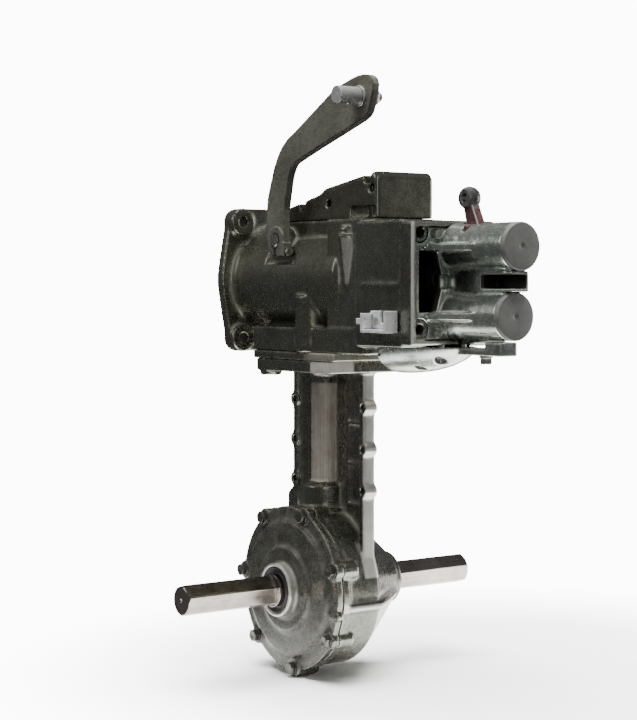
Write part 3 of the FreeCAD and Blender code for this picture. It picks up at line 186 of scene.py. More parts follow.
def paint_cast(name, dark, light, bare):
    """Dark semi-gloss coat with a metallic sheen; bare_and_highlight bares the metal, and on some pieces it paints a
    highlight as bare metal; warm tints that bare metal brown; painted_shade paints shade in near-black."""
    m = Mat(name)
    big, mid = m.noise(14, 4), m.noise(120, 5, 0.6)
    fine, grit = m.noise(900, 3, 0.6), m.noise(420, 4, 0.65, distort=0.4)
    edge, cavity, bare_and_highlight, warm = m.attr("edge"), m.attr("cavity"), m.attr("bare_and_highlight"), m.attr("warm")
    tone = m.math("ADD", m.math("MULTIPLY", big, 0.6), m.math("MULTIPLY", mid, 0.4))
    colour = m.mix(m.span(tone, 0.36, 0.66), dark, light)
    # thin olive and brown films of oil and dust that ran over the paint
    film = m.span(m.noise(9, 5, 0.6, vec=m.stretch(1, 1, 0.45)), 0.50, 0.68)
    colour = m.mix(m.math("MULTIPLY", film, 0.35), colour, (light[0] * 1.12, light[1] * 1.08, light[2] * 0.86))
    # dirt in the corners
    dirt = m.span(m.math("MULTIPLY", cavity, m.span(grit, 0.3, 0.7, 0.6, 1.3)), 0.12, 0.75)
    colour = m.mix(m.math("MULTIPLY", dirt, 0.75), colour, (dark[0] * 0.3, dark[1] * 0.29, dark[2] * 0.25))
    # paint rubbed thin on the edges, and a few chips down to metal
    rub = m.span(m.math("MULTIPLY", edge, m.span(mid, 0.3, 0.75, 0.5, 1.5)), 0.30, 0.95)
    colour = m.mix(m.math("MULTIPLY", rub, 0.30), colour, (light[0] * 1.7, light[1] * 1.7, light[2] * 1.65))
    chip = m.span(m.math("MULTIPLY", edge, m.span(grit, 0.52, 0.64)), 0.55, 0.70)
    bare_metal_and_highlight = m.math("MAXIMUM", m.math("MULTIPLY", chip, 0.35), bare_and_highlight)
    # machined faces, and painted highlights drawn as bare metal: milled lines, stained
    s = m.xyz()
    mill = m.line_noise(m.math("ADD", s["Y"], m.math("MULTIPLY", s["X"], 0.35)), 1900)
    drawn = m.noise(1.0, 4, 0.6, vec=m.stretch(900, 900, 14))
    stain = m.span(m.noise(60, 5, 0.65), 0.42, 0.66)
    bare_c = m.mix(m.math("MULTIPLY", stain, 0.45), bare, (bare[0] * 0.6, bare[1] * 0.54, bare[2] * 0.47))
    bare_c = m.mix(m.span(mill, 0.2, 0.8, 0.0, 0.25), bare_c, (0.80, 0.79, 0.76))
    brown = m.mix(m.span(drawn, 0.35, 0.65), (0.31, 0.275, 0.235), (0.50, 0.46, 0.40))
    brown = m.mix(m.math("MULTIPLY", stain, 0.35), brown, (0.16, 0.12, 0.10))
    bare_c = m.mix(warm, bare_c, brown)
    colour = m.mix(bare_metal_and_highlight, colour, bare_c)
    # painted shade: near-black colour and less gloss where the painted_shade mask marks shaded recesses and a shaded
    # side
    painted_shade = m.attr("painted_shade")
    colour = m.mix(m.math("MULTIPLY", painted_shade, m.span(mid, 0.3, 0.7, 1.0, 0.8)), colour, (0.030, 0.029, 0.024))
    m.set("Base Color", colour)
    shiny = m.blendf(painted_shade, m.span(dirt, 0.0, 1.0, 0.97, 0.45), 0.5)
    shiny = m.blendf(bare_metal_and_highlight, shiny, 0.72)
    m.set("Metallic", m.blendf(m.math("MULTIPLY", warm, bare_metal_and_highlight), shiny, 0.45))
    rough = m.span(m.math("ADD", m.math("MULTIPLY", mid, 0.5), m.math("MULTIPLY", grit, 0.5)), 0.3, 0.7, 0.22, 0.34)
    rough = m.math("ADD", rough, m.math("MULTIPLY", dirt, 0.25))
    rough = m.blendf(bare_metal_and_highlight, rough, m.span(mill, 0.2, 0.8, 0.28, 0.42))
    m.set("Roughness", rough)
    m.set("Coat Weight", 0.10)
    m.set("Coat Roughness", 0.14)
    skin = m.bump(fine, 0.14, 0.00006)
    skin = m.bump(grit, 0.20, 0.00014, skin)
    skin = m.bump(mid, 0.16, 0.0004, skin)
    m.set("Normal", m.bump(m.math("MULTIPLY", mill, bare_and_highlight), 0.12, 0.00005, skin))
    return m.m


def cast_metal(name, dark, light, tint):
    m = Mat(name)
    big, mid = m.noise(22, 4), m.noise(150, 5, 0.6)
    fine, grit = m.noise(1000, 3, 0.6), m.noise(380, 4, 0.65, distort=0.5)
    edge, cavity, bare_and_highlight = m.attr("edge"), m.attr("cavity"), m.attr("bare_and_highlight")
    tone = m.math("ADD", m.math("MULTIPLY", big, 0.55), m.math("MULTIPLY", mid, 0.45))
    colour = m.mix(m.span(tone, 0.38, 0.64), dark, light)
    colour = m.mix(m.math("MULTIPLY", m.span(m.noise(17, 4, vec=m.stretch(0.5, 1, 1.2)), 0.46, 0.62), 0.6), colour, tint)
    dirt = m.span(m.math("MULTIPLY", cavity, m.span(mid, 0.3, 0.7, 0.7, 1.2)), 0.25, 0.95)
    colour = m.mix(m.math("MULTIPLY", dirt, 0.75), colour, (0.035, 0.037, 0.028))
    rub = m.span(m.math("MULTIPLY", edge, m.span(mid, 0.3, 0.7, 0.6, 1.4)), 0.3, 0.9)
    colour = m.mix(m.math("MULTIPLY", m.math("MAXIMUM", m.math("MULTIPLY", rub, 0.6), bare_and_highlight), 0.6), colour, (0.78, 0.79, 0.76))
    # painted shade: near-black colour and more roughness where the painted_shade mask marks shaded recesses
    painted_shade = m.attr("painted_shade")
    colour = m.mix(painted_shade, colour, (0.012, 0.013, 0.010))
    m.set("Base Color", colour)
    m.set("Metallic", m.blendf(painted_shade, m.span(dirt, 0.0, 1.0, 0.96, 0.45), 0.0))
    rough = m.span(m.math("ADD", m.math("MULTIPLY", mid, 0.5), m.math("MULTIPLY", grit, 0.5)), 0.32, 0.68, 0.16, 0.30)
    m.set("Roughness", m.math("ADD", rough, m.math("MULTIPLY", m.math("MAXIMUM", dirt, painted_shade), 0.35)))
    skin = m.bump(fine, 0.15, 0.00006)
    skin = m.bump(grit, 0.20, 0.00016, skin)
    m.set("Normal", m.bump(mid, 0.25, 0.0006, skin))
    return m.m


def turned_metal(name, colour_a, colour_b, axis=None, cx=0.0, cy=0.0, rough=(0.22, 0.36), grain=2600, rust=0.0,
                 metallic=1.0):
    """Turned or drawn steel: tool marks round an axis, or along it without one."""
    m = Mat(name)
    mid, fine = m.noise(170, 5, 0.6), m.noise(1300, 3)
    big = m.noise(30, 4, 0.55)
    if axis:
        marks = m.line_noise(m.radius(axis, cx, cy), grain)
    else:
        marks = m.noise(1.0, 4, 0.65, vec=m.stretch(grain * 0.4, grain * 0.008, grain * 0.4))
    edge, cavity = m.attr("edge"), m.attr("cavity")
    colour = m.mix(m.span(m.math("ADD", m.math("MULTIPLY", marks, 0.4), m.math("MULTIPLY", big, 0.6)), 0.35, 0.65), colour_a, colour_b)
    colour = m.mix(m.math("MULTIPLY", m.span(mid, 0.55, 0.75), 0.35), colour,
                   (colour_a[0] * 0.55, colour_a[1] * 0.5, colour_a[2] * 0.42))
    if rust:
        spots = m.span(m.noise(75, 6, 0.7, distort=0.6), 0.54, 0.70)
        colour = m.mix(m.math("MULTIPLY", spots, rust), colour, (0.16, 0.055, 0.028))
    colour = m.mix(m.math("MULTIPLY", m.span(cavity, 0.2, 0.8), 0.8), colour, (0.03, 0.028, 0.024))
    colour = m.mix(m.math("MULTIPLY", m.span(edge, 0.3, 0.9), 0.5), colour, (0.75, 0.74, 0.72))
    m.set("Base Color", colour)
    m.set("Metallic", metallic)
    m.set("Roughness", m.span(m.math("ADD", m.math("MULTIPLY", marks, 0.5), m.math("MULTIPLY", mid, 0.5)),
                              0.3, 0.7, *rough))
    n = m.bump(marks, 0.18, 0.00005)
    n = m.bump(fine, 0.08, 0.00004, n)
    m.set("Normal", m.bump(mid, 0.10, 0.0002, n))
    return m.m


def lever_metal(name):
    """Flat lever blank, plated olive grey, darker where the plating is thick."""
    m = Mat(name)
    mid, fine, big = m.noise(160, 5, 0.6), m.noise(1200, 3), m.noise(26, 4)
    s = m.xyz()
    grain = m.noise(1.0, 4, 0.6, vec=m.stretch(260, 900, 700))
    edge, cavity = m.attr("edge"), m.attr("cavity")
    colour = m.mix(m.span(big, 0.36, 0.66), (0.075, 0.075, 0.060), (0.135, 0.135, 0.113))
    colour = m.mix(m.math("MULTIPLY", m.span(grain, 0.35, 0.7), 0.35), colour, (0.25, 0.245, 0.21))
    colour = m.mix(m.math("MULTIPLY", m.span(mid, 0.52, 0.72), 0.5), colour, (0.05, 0.048, 0.037))
    colour = m.mix(m.math("MULTIPLY", m.span(m.math("MULTIPLY", edge, m.span(mid, 0.3, 0.7, 0.5, 1.4)), 0.35, 0.9), 0.75),
                   colour, (0.055, 0.052, 0.043))
    colour = m.mix(m.math("MULTIPLY", m.span(cavity, 0.15, 0.7), 0.8), colour, (0.03, 0.029, 0.022))
    m.set("Base Color", colour)
    m.set("Metallic", 0.6)
    m.set("Roughness", m.span(m.math("ADD", m.math("MULTIPLY", grain, 0.5), m.math("MULTIPLY", mid, 0.5)), 0.3, 0.7, 0.30, 0.46))
    n = m.bump(grain, 0.15, 0.00008)
    n = m.bump(fine, 0.15, 0.00005, n)
    m.set("Normal", m.bump(mid, 0.20, 0.0003, n))
    return m.m


def zinc_metal(name):
    m = Mat(name)
    cells = m.cells(230)
    mid, fine = m.noise(200, 4), m.noise(1500, 3)
    cavity, edge = m.attr("cavity"), m.attr("edge")
    spangle = m.node("ShaderNodeSeparateColor")
    m.put(spangle.inputs[0], cells.outputs["Color"])
    colour = m.mix(spangle.outputs[0], (0.66, 0.68, 0.68), (0.86, 0.87, 0.86))
    colour = m.mix(m.math("MULTIPLY", m.span(mid, 0.55, 0.75), 0.35), colour, (0.52, 0.52, 0.46))
    colour = m.mix(m.math("MULTIPLY", m.span(cavity, 0.2, 0.9), 0.7), colour, (0.08, 0.08, 0.07))
    m.set("Base Color", colour)
    m.set("Metallic", 0.68)
    m.set("Roughness", m.span(m.math("ADD", m.math("MULTIPLY", spangle.outputs[1], 0.5), m.math("MULTIPLY", mid, 0.5)),
                              0.2, 0.8, 0.24, 0.42))
    n = m.bump(fine, 0.15, 0.00005)
    m.set("Normal", m.bump(mid, 0.15, 0.0002, n))
    return m.m


def soft_stuff(name, a, b, rough, scale=300, coat=0.0):
    """Rubber, fibre and friction lining: fine grain with small pale bits."""
    m = Mat(name)
    mid, fine = m.noise(scale, 5, 0.65), m.noise(scale * 5, 3)
    bits = m.cells(scale * 4)
    colour = m.mix(m.span(mid, 0.35, 0.68), a, b)
    colour = m.mix(m.math("MULTIPLY", m.span(bits.outputs["Distance"], 0.20, 0.05), 0.3), colour,
                   (b[0] * 2.2, b[1] * 2.1, b[2] * 1.9))
    m.set("Base Color", colour)
    m.set("Roughness", m.span(mid, 0.3, 0.7, *rough))
    n = m.bump(fine, 0.25, 0.00008)
    m.set("Normal", m.bump(mid, 0.25, 0.0003, n))
    return m.m


def shift_metal(name):
    """The shift lever: grey turned head, red-brown film of rust on its stem."""
    m = Mat(name)
    s = m.xyz()
    mid, fine = m.noise(210, 5, 0.65), m.noise(1300, 3)
    edge, cavity = m.attr("edge"), m.attr("cavity")
    steel = m.mix(m.span(mid, 0.35, 0.65), (0.16, 0.16, 0.155), (0.30, 0.30, 0.29))
    rust = m.mix(m.span(m.noise(420, 5, 0.7), 0.35, 0.65), (0.045, 0.024, 0.024), (0.095, 0.052, 0.050))
    low = m.span(m.math("ADD", s["Z"], m.math("MULTIPLY", mid, 0.006)), 0.0645, 0.0610)
    colour = m.mix(m.math("MAXIMUM", low, m.span(m.math("MULTIPLY", cavity, mid), 0.2, 0.5)), steel, rust)
    colour = m.mix(m.math("MULTIPLY", m.span(edge, 0.4, 1.0), 0.5), colour, (0.5, 0.48, 0.46))
    m.set("Base Color", colour)
    m.set("Metallic", m.span(low, 0, 1, 0.95, 0.45))
    m.set("Roughness", m.span(m.math("ADD", mid, m.math("MULTIPLY", low, 0.2)), 0.3, 0.85, 0.28, 0.55))
    n = m.bump(fine, 0.15, 0.00006)
    m.set("Normal", m.bump(mid, 0.25, 0.0003, n))
    return m.m


MAT = {
    "cast_dark": paint_cast("dark_cast_paint", (0.15, 0.153, 0.13), (0.27, 0.275, 0.235), (0.66, 0.645, 0.60)),
    "cast_silver": cast_metal("silver_casting", (0.42, 0.47, 0.42), (0.74, 0.77, 0.70), (0.32, 0.40, 0.34)),
    "cap_steel": turned_metal("cap_steel", (0.14, 0.14, 0.132), (0.22, 0.22, 0.21), rough=(0.40, 0.55), grain=900,
                              metallic=0.6),
    "zinc_plate": zinc_metal("zinc_plate"),
    "lever_steel": lever_metal("lever_plating"),
    "swivel_steel": turned_metal("swivel_steel", (0.55, 0.55, 0.52), (0.80, 0.80, 0.78), "Y", 0.204, 0.1535, (0.18, 0.32), 3000, metallic=0.88),
    "dark_bolts": turned_metal("blackened_screws", (0.08, 0.08, 0.07), (0.17, 0.17, 0.15), rough=(0.24, 0.40), metallic=0.9),
    "bright_bolts": turned_metal("plated_screws", (0.42, 0.42, 0.38), (0.66, 0.66, 0.62), rough=(0.22, 0.38), rust=0.15),
    "axle_steel": turned_metal("drawn_hexagon_steel", (0.30, 0.26, 0.235), (0.50, 0.455, 0.415), rough=(0.14, 0.26), grain=2200,
                               rust=0.30),
    "shift_steel": shift_metal("shift_steel"),
    "gear_steel": turned_metal("gear_steel", (0.38, 0.38, 0.36), (0.58, 0.58, 0.56), rough=(0.22, 0.38)),
    "bearing_steel": turned_metal("bearing_steel", (0.60, 0.60, 0.60), (0.78, 0.78, 0.78), rough=(0.10, 0.20)),
    "spring_steel": turned_metal("spring_wire", (0.12, 0.12, 0.12), (0.24, 0.24, 0.24), rough=(0.25, 0.4)),
    "clutch_iron": turned_metal("clutch_iron", (0.20, 0.20, 0.20), (0.36, 0.36, 0.35), "X", 0.0, 0.0, (0.30, 0.46), 2000),
    "friction_lining": soft_stuff("friction_lining", (0.085, 0.062, 0.042), (0.17, 0.13, 0.09), (0.75, 0.92), 500),
    "seal_rubber": soft_stuff("seal_rubber", (0.010, 0.010, 0.010), (0.026, 0.026, 0.025), (0.42, 0.62), 350),
    "gasket_fibre": soft_stuff("gasket_fibre", (0.020, 0.019, 0.015), (0.055, 0.050, 0.038), (0.7, 0.9), 600),
}
DISC_UPPER = turned_metal("disc_upper_face", (0.125, 0.125, 0.118), (0.20, 0.20, 0.19), "X", 0.0, 0.026, (0.40, 0.55), 1300, metallic=0.6)
DISC_LOWER = turned_metal("disc_lower_face", (0.125, 0.125, 0.118), (0.20, 0.20, 0.19), "X", 0.0, -0.030, (0.40, 0.55), 1300, metallic=0.6)

for node, obj in NODES.items():
    mat = MAT[SLOT[node]]
    if not obj.material_slots:
        obj.data.materials.append(mat)
    for s in obj.material_slots:
        s.material = mat


# -------------------------------------------------------------------- pieces
def add(name, mesh, node=None, body=None, mat=None, slot=None, also=None):
    obj = bpy.data.objects.new(name, mesh)
    SCENE.collection.objects.link(obj)
    mesh.materials.clear()
    mesh.materials.append(mat or MAT[slot or SLOT[node]])
    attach(obj, body or BODY[node])
    if node:
        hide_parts(*([node, also] if also else [node]))
    return obj


def shade(mesh, angle=32):
    mesh.polygons.foreach_set("use_smooth", [True] * len(mesh.polygons))
    mesh.set_sharp_from_angle(angle=math.radians(angle))
    mesh.update()


class Net:
    """A mesh's points and edges, for averaging over neighbours."""

    def __init__(self, mesh):
        self.mesh = mesh
        n = len(mesh.vertices)
        v = np.empty(n * 3)
        mesh.vertices.foreach_get("co", v)
        self.p = v.reshape(-1, 3)
        e = np.empty(len(mesh.edges) * 2, dtype=np.int32)
        mesh.edges.foreach_get("vertices", e)
        self.a, self.b = e[0::2], e[1::2]
        self.n = n
        self.deg = np.maximum(np.bincount(self.a, minlength=n) + np.bincount(self.b, minlength=n), 1)[:, None]

    def mean(self, f):
        out = np.empty_like(f)
        for c in range(f.shape[1]):
            out[:, c] = (np.bincount(self.a, f[self.b, c], self.n) + np.bincount(self.b, f[self.a, c], self.n))
        return out / self.deg

    def smooth(self, p, times, rate=0.6):
        for _ in range(times):
            p = p + rate * (self.mean(p) - p)
        return p

    def write(self, p):
        self.mesh.vertices.foreach_set("co", p.ravel())
        self.mesh.update()

    def normals(self):
        n = np.empty(self.n * 3)
        self.mesh.vertex_normals.foreach_get("vector", n)
        return n.reshape(-1, 3)


def joined_copy(nodes, seam=None):
    """The nodes' meshes as one; a seam is the plane x = seam (mm) where two of
    them meet, whose faces are left out."""
    bm = bmesh.new()
    for node in nodes:
        bm.from_mesh(NODES[node].data)
    bmesh.ops.remove_doubles(bm, verts=bm.verts, dist=2e-6)
    if seam is not None:
        flat = [f for f in bm.faces if all(abs(v.co.x - seam * MM) < 2e-6 for v in f.verts)]
        bmesh.ops.delete(bm, geom=flat, context="FACES")
    mesh = bpy.data.meshes.new("src_" + nodes[0])
    bm.to_mesh(mesh)
    bm.free()
    return mesh


def resurface(mesh, size):
    """The same solid on an even grid of small faces."""
    tmp = bpy.data.objects.new("grid", mesh)
    SCENE.collection.objects.link(tmp)
    mod = tmp.modifiers.new("grid", "REMESH")
    mod.mode = "VOXEL"
    mod.voxel_size = size
    deps = bpy.context.evaluated_depsgraph_get()
    deps.update()
    out = bpy.data.meshes.new_from_object(tmp.evaluated_get(deps))
    bpy.data.objects.remove(tmp)
    return out


def waves(p, size, seed):
    """Smooth random height of about +-1 over the points, features of the size."""
    r = np.random.RandomState(seed)
    out = np.zeros(len(p))
    for _ in range(9):
        d = r.normal(size=3)
        d *= (2 * math.pi / size) * r.uniform(0.6, 1.5) / np.linalg.norm(d)
        out += np.sin(p @ d + r.uniform(0, 6.28))
    return out / 4.0


def near_axis(p, axis, a, b, rad, lo=None, hi=None):
    """1 inside a cylinder along an axis (mm), 0 outside it."""
    i, j, k = {"x": (1, 2, 0), "y": (0, 2, 1), "z": (0, 1, 2)}[axis]
    m = (p[:, i] - a * MM) ** 2 + (p[:, j] - b * MM) ** 2 < (rad * MM) ** 2
    if lo is not None:
        m &= (p[:, k] > lo * MM) & (p[:, k] < hi * MM)
    return m


def in_box(p, x0, x1, y0, y1, z0, z1):
    return ((p[:, 0] > x0 * MM) & (p[:, 0] < x1 * MM) & (p[:, 1] > y0 * MM) & (p[:, 1] < y1 * MM)
            & (p[:, 2] > z0 * MM) & (p[:, 2] < z1 * MM))


def cast(node, size, soften=3, fillet=0, keep=(), wobble=0.0, bare_and_highlight=None, scale_mm=1.0, deepest=3.0, angle=180,
         warm=None, also=None, seam=None, painted_shade=None):
    """A node on an even grid, with soft edges, filled inside corners and the masks that its material reads: edge,
    cavity, bare_and_highlight (bare metal, and on some pieces a painted highlight), warm and painted_shade (painted
    shade)."""
    mesh = resurface(joined_copy([node] + ([also] if also else []), seam), size * MM * COARSE)
    net = Net(mesh)
    p0 = net.p
    p = net.smooth(p0, soften, 0.55)
    held = np.zeros(net.n, dtype=bool)
    for k in keep:
        held |= near_axis(p0, *k) if isinstance(k[0], str) else in_box(p0, *k)
    free = (~held).astype(float)[:, None]
    free = net.smooth(free, 3)
    if fillet:
        net.write(p)
        n = net.normals()
        q = net.smooth(p, int(fillet / COARSE ** 2) + 1, 0.5)
        d = ((q - p) * n).sum(1)
        fill = np.clip(d - 0.00004, 0, deepest * MM)[:, None] * free
        fill = net.smooth(fill, 2)
        p = net.smooth(p + n * fill, 2, 0.5)
    if wobble:
        net.write(p)
        n = net.normals()
        w = (waves(p, 0.031, 3) * 0.6 + waves(p, 0.012, 5) * 0.4)[:, None]
        p = p + n * w * wobble * MM * free
    net.write(p)
    n = net.normals()
    q = net.smooth(p, max(2, int(14 * scale_mm ** 2 / (size * COARSE) ** 2)), 0.5)
    d = ((q - p) * n).sum(1) / MM
    for label, value in (("edge", -d), ("cavity", d)):
        v = np.clip(value / (0.5 * scale_mm), 0, 1)
        mesh.attributes.new(label, "FLOAT", "POINT").data.foreach_set("value", v.astype(np.float32))
    for label, mask in (("bare_and_highlight", bare_and_highlight), ("warm", warm), ("painted_shade", painted_shade)):
        if mask is not None:
            v = np.clip(net.smooth(mask(p / MM, n).astype(float)[:, None], 1)[:, 0], 0, 1)
            mesh.attributes.new(label, "FLOAT", "POINT").data.foreach_set("value", v.astype(np.float32))
    shade(mesh, angle)
    return add("look_" + node, mesh, node, also=also)


COLUMN_BOLTS = [(x, y) for x in (54, 101, 148) for y in (-37.5, 37.5)]
COVER_BOLTS = [(94, -25), (94, 25), (190, -25), (190, 25)]
CARRIER_BOLTS = [(-24, 37), (24, 37), (-24, -44), (24, -44)]
TOW_BOLTS = [(240, -12), (240, 12), (266, -12), (266, 12)]
EARS = [(88 + 71.5 * math.cos(math.radians(122 + 360 / 7 * k)), -278 + 71.5 * math.sin(math.radians(122 + 360 / 7 * k)))
        for k in range(7)]


def housing_bare_and_highlight(p, n):
    rear = (p[:, 0] > 274.6) & (n[:, 0] > 0.75)
    rear = rear * (0.22 + 0.78 * ((p[:, 1] < -48.6) | (p[:, 2] < -51.5)))
    front = (p[:, 0] < 1.2) & (n[:, 0] < -0.75)
    bore = (np.hypot(p[:, 1], p[:, 2]) < 44) & (p[:, 0] < 58) & (p[:, 0] > 0.5)
    # painted highlight: a strip down one side of the round boss cone is shown as bare bright metal
    cone_highlight = (np.hypot(p[:, 0] - 180, p[:, 1] + 43) < 10.6) & (p[:, 2] > -4) & (p[:, 2] < 36) & (n[:, 0] > 0.15) & (n[:, 1] < -0.35)
    return np.maximum(np.maximum(rear, cone_highlight * 0.55), (front | bore) * 1.0)


def column_mach(p, n):
    x, y, z = p.T
    strip = (z < -71.5) & (z > -81.5) & (((x > 129) & (n[:, 1] < -0.7)) | ((y < -21) & (n[:, 0] > 0.7))) & (np.abs(y) > 12)
    tube = (np.hypot(x - 88, y) < 14.6) & (z < -93) & (z > -186)
    rear = (x > 151.2) & (np.abs(y) < 8.5) & (n[:, 0] > 0.6) & (z < -82) & (z > -263)
    boss = (y > 68.8) & (n[:, 1] > 0.8) & (np.hypot(x - 88, z + 278) < 26)
    rib = (z < -284.4) & (z > -291.6) & (x > 118) & (n[:, 2] < 0.5) & (np.hypot(x - 88, z + 278) > 69)
    return strip * 1.0 + tube * 0.85 + rear * 0.75 + boss * 0.6 + rib * 0.7


# painted shade: the carrier's window and side recesses are marked to be coloured near-black as if in shadow
def carrier_painted_shade(p, n):
    x, y, z = p.T
    window = (y > -12.6) & (y < 7.1) & (z > -8.0) & (z < 4.0) & (x > 312) & (x < 350.5)
    side = (x < 273.2) & (x > 262) & (np.abs(y) > 17) & (np.abs(y) < 41) & (z > -28) & (z < 24)
    return (window | side) * 1.0


def column_warm(p, n):
    x, y, z = p.T
    return ((np.hypot(x - 88, y) < 15.5) & (z < -90) & (z > -188)) * 1.0 + ((z > -82) & (np.abs(y) > 12)) * 0.35


cast("clutch_bell", 1.05, 3, 26, keep=(
    [("x", sy * 41.7, sz * 53.7, 7.0) for sy in (-1, 1) for sz in (-1, 1)]
    + [("x", sy * 40, z, 6.2) for sy in (-1, 1) for z in (38, -41)]
    + [("z", x, y, 6, -66, -40) for x, y in COLUMN_BOLTS] + [("z", x, y, 5, 40, 60) for x, y in COVER_BOLTS]
    + [("x", y, z, 5, 240, 280) for y, z in CARRIER_BOLTS]
    + [("x", 0, 0, 14.5, 60, 130), ("x", -22, -56.5, 9.5, -1, 16), (60, 106, -60, -38, 10, 62), (125, 240, -42, 42, -54, 45),
       ("y", 80, 35, 14), ("y", 232, -35, 4, -60, -36), ("y", 249.5, -35, 4, -60, -36), (245, 280, -45, 45, -51, 44),
       ("z", 180, -43, 9.5, 36, 50)]),
    wobble=0.07, bare_and_highlight=housing_bare_and_highlight, also="main_housing", seam=95)
cast("column_housing", 1.05, 3, 30, keep=(
    [("z", x, y, 8, -92, -60) for x, y in COLUMN_BOLTS] + [("y", x, z, 5.5, -60, -10) for x, z in EARS]
    + [("y", 88, -278, 66, -34, 5), ("y", 88, -278, 30, 20, 75), ("z", 88, 0, 18, -250, -60), ("x", -14, -314, 9, 10, 30)]
    + [("y", x, z, 4.8) for z0 in (-110, -147, -184) for x, z in ((47, z0), (151, z0 - 3))]),
    wobble=0.08, bare_and_highlight=column_mach, warm=column_warm)
cast("lower_cover", 0.85, 3, 26, keep=(
    [("y", x, z, 5.5, -60, -20) for x, z in EARS] + [("y", 88, -278, 23)]
    + [("y", 88, -278, 66, -40, -33)]),
    # bare metal on the outer -y face and round the seal; the half ring on the +x side of the boss is a painted
    # highlight
    wobble=0.06, bare_and_highlight=lambda p, n: ((p[:, 1] < -55.8) & (n[:, 1] < -0.8)) * 0.5
    + ((np.hypot(p[:, 0] - 88, p[:, 2] + 278) < 22.5) & (p[:, 1] < -49)) * 0.8
    + ((np.abs(np.hypot(p[:, 0] - 88, p[:, 2] + 278) - 24.3) < 1.2) & (p[:, 1] < -50) & (p[:, 0] > 88)) * 0.5,
    # painted shade: faces turned towards -y, away from the boss, are darkened
    painted_shade=lambda p, n: (n[:, 1] < -0.45) * (np.hypot(p[:, 0] - 88, p[:, 2] + 278) > 25.5) * 0.94)
cast("bearing_plate", 0.9, 2, 0, wobble=0.03, bare_and_highlight=lambda p, n: (p[:, 0] > 120) * 0.35, warm=lambda p, n: (p[:, 0] > 110) * 1.0)
cast("top_cover", 0.8, 7, 16, keep=([("z", x, y, 7.5, 50, 100) for x, y in COVER_BOLTS] + [("y", 196, 78, 5), ("y", 134, 67, 5)]),
     wobble=0.06)
cast("rear_carrier", 0.8, 2, 20, keep=(
    [("x", y, z, 5.5) for y, z in CARRIER_BOLTS] + [("x", sy * 40, z, 9.5) for sy in (-1, 1) for z in (38, -41)]
    + [("x", 0, 26, 13, 240, 352), ("x", 0, -30, 17, 240, 346), ("x", 0, 0, 15, 250, 268), (282, 310, -6, 6, 25, 52),
       ("y", 297, 41, 4.5), (313, 353, -14, 7.5, -9.4, 5.4)]),
    wobble=0.08, deepest=2.2, painted_shade=carrier_painted_shade)
cast("tow_bracket", 0.7, 3, 14, keep=[("z", x, y, 6) for x, y in TOW_BOLTS] + [("z", 328, 0, 4.4), ("z", 309, 0, 4.4)], wobble=0.06)
cast("clutch_lever", 0.6, 3, 8, keep=[("y", 80, 35, 7.5), ("y", 204, 153.5, 6), ("x", -47, 25, 4)], wobble=0.03, scale_mm=0.8)
cast("cable_bracket", 0.4, 3, 0, scale_mm=0.6)
cast("cable_swivel", 0.3, 3, 0, keep=[("z", 204, -62, 2.2)], scale_mm=0.5)
cast("shift_lever", 0.4, 3, 6, scale_mm=0.6)
cast("clutch_fork", 0.8, 3, 8, keep=[("y", 80, 35, 8)], scale_mm=0.8)


# turned and hexagonal pieces
def axes_of(axis):
    x, y, z = np.eye(3)
    return {"x": (y, z, x), "-x": (y, -z, -x), "y": (z, x, y), "-y": (z, -x, -y), "z": (x, y, z), "-z": (x, -y, -z)}[axis]


def loft(bm, rings, axis, at, capped=True):
    """Rings of (radius per step, height per step) in mm, stacked along an axis
    from a point; radius and height may be arrays round the circle."""
    u, v, w = axes_of(axis)
    rows = []
    for r, h in rings:
        count = STEPS
        th = np.arange(count) * 2 * math.pi / count
        r = np.broadcast_to(np.asarray(r, dtype=float), (count,))
        h = np.broadcast_to(np.asarray(h, dtype=float), (count,))
        pts = np.asarray(at)[None, :] + (r * np.cos(th))[:, None] * u + (r * np.sin(th))[:, None] * v + h[:, None] * w
        rows.append([bm.verts.new(q * MM) for q in pts])
    for a, b in zip(rows, rows[1:]):
        for i in range(STEPS):
            j = (i + 1) % STEPS
            bm.faces.new((a[i], a[j], b[j], b[i]))
    if capped:
        bm.faces.new(rows[0][::-1])
        bm.faces.new(rows[-1])
    else:
        a, b = rows[-1], rows[0]
        for i in range(STEPS):
            j = (i + 1) % STEPS
            bm.faces.new((a[i], a[j], b[j], b[i]))
    return rows


STEPS = 72


def hexagon_radius(half, turn=0.0, cut=1.0):
    th = np.arange(STEPS) * 2 * math.pi / STEPS + turn
    r = half / np.cos((th + math.pi / 6) % (math.pi / 3) - math.pi / 6)
    return np.minimum(r, half / math.cos(math.pi / 6) * cut)


def rounded_profile(pts, rad=0.4, steps=3):
    """Corner points (radius, height) with small rounds in place of corners."""
    out = []
    m = len(pts)
    for i, (r, h) in enumerate(pts):
        a, b = np.array(pts[i - 1]), np.array(pts[(i + 1) % m])
        c = np.array((r, h))
        if r < 1e-6:
            out.append((r, h))
            continue
        da, db = a - c, b - c
        la, lb = np.linalg.norm(da), np.linalg.norm(db)
        if la < 1e-9 or lb < 1e-9:
            out.append((r, h))
            continue
        k = min(rad, la * 0.4, lb * 0.4)
        s, e = c + da / la * k, c + db / lb * k
        for t in np.linspace(0, 1, steps + 1):
            q = (1 - t) ** 2 * s + 2 * t * (1 - t) * c + t * t * e
            out.append((float(q[0]), float(q[1])))
    return out


def done(bm, name, node, mat=None, angle=32):
    bmesh.ops.recalc_face_normals(bm, faces=bm.faces)
    mesh = bpy.data.meshes.new(name)
    bm.to_mesh(mesh)
    bm.free()
    shade(mesh, angle)
    return add(name, mesh, node, mat=mat)


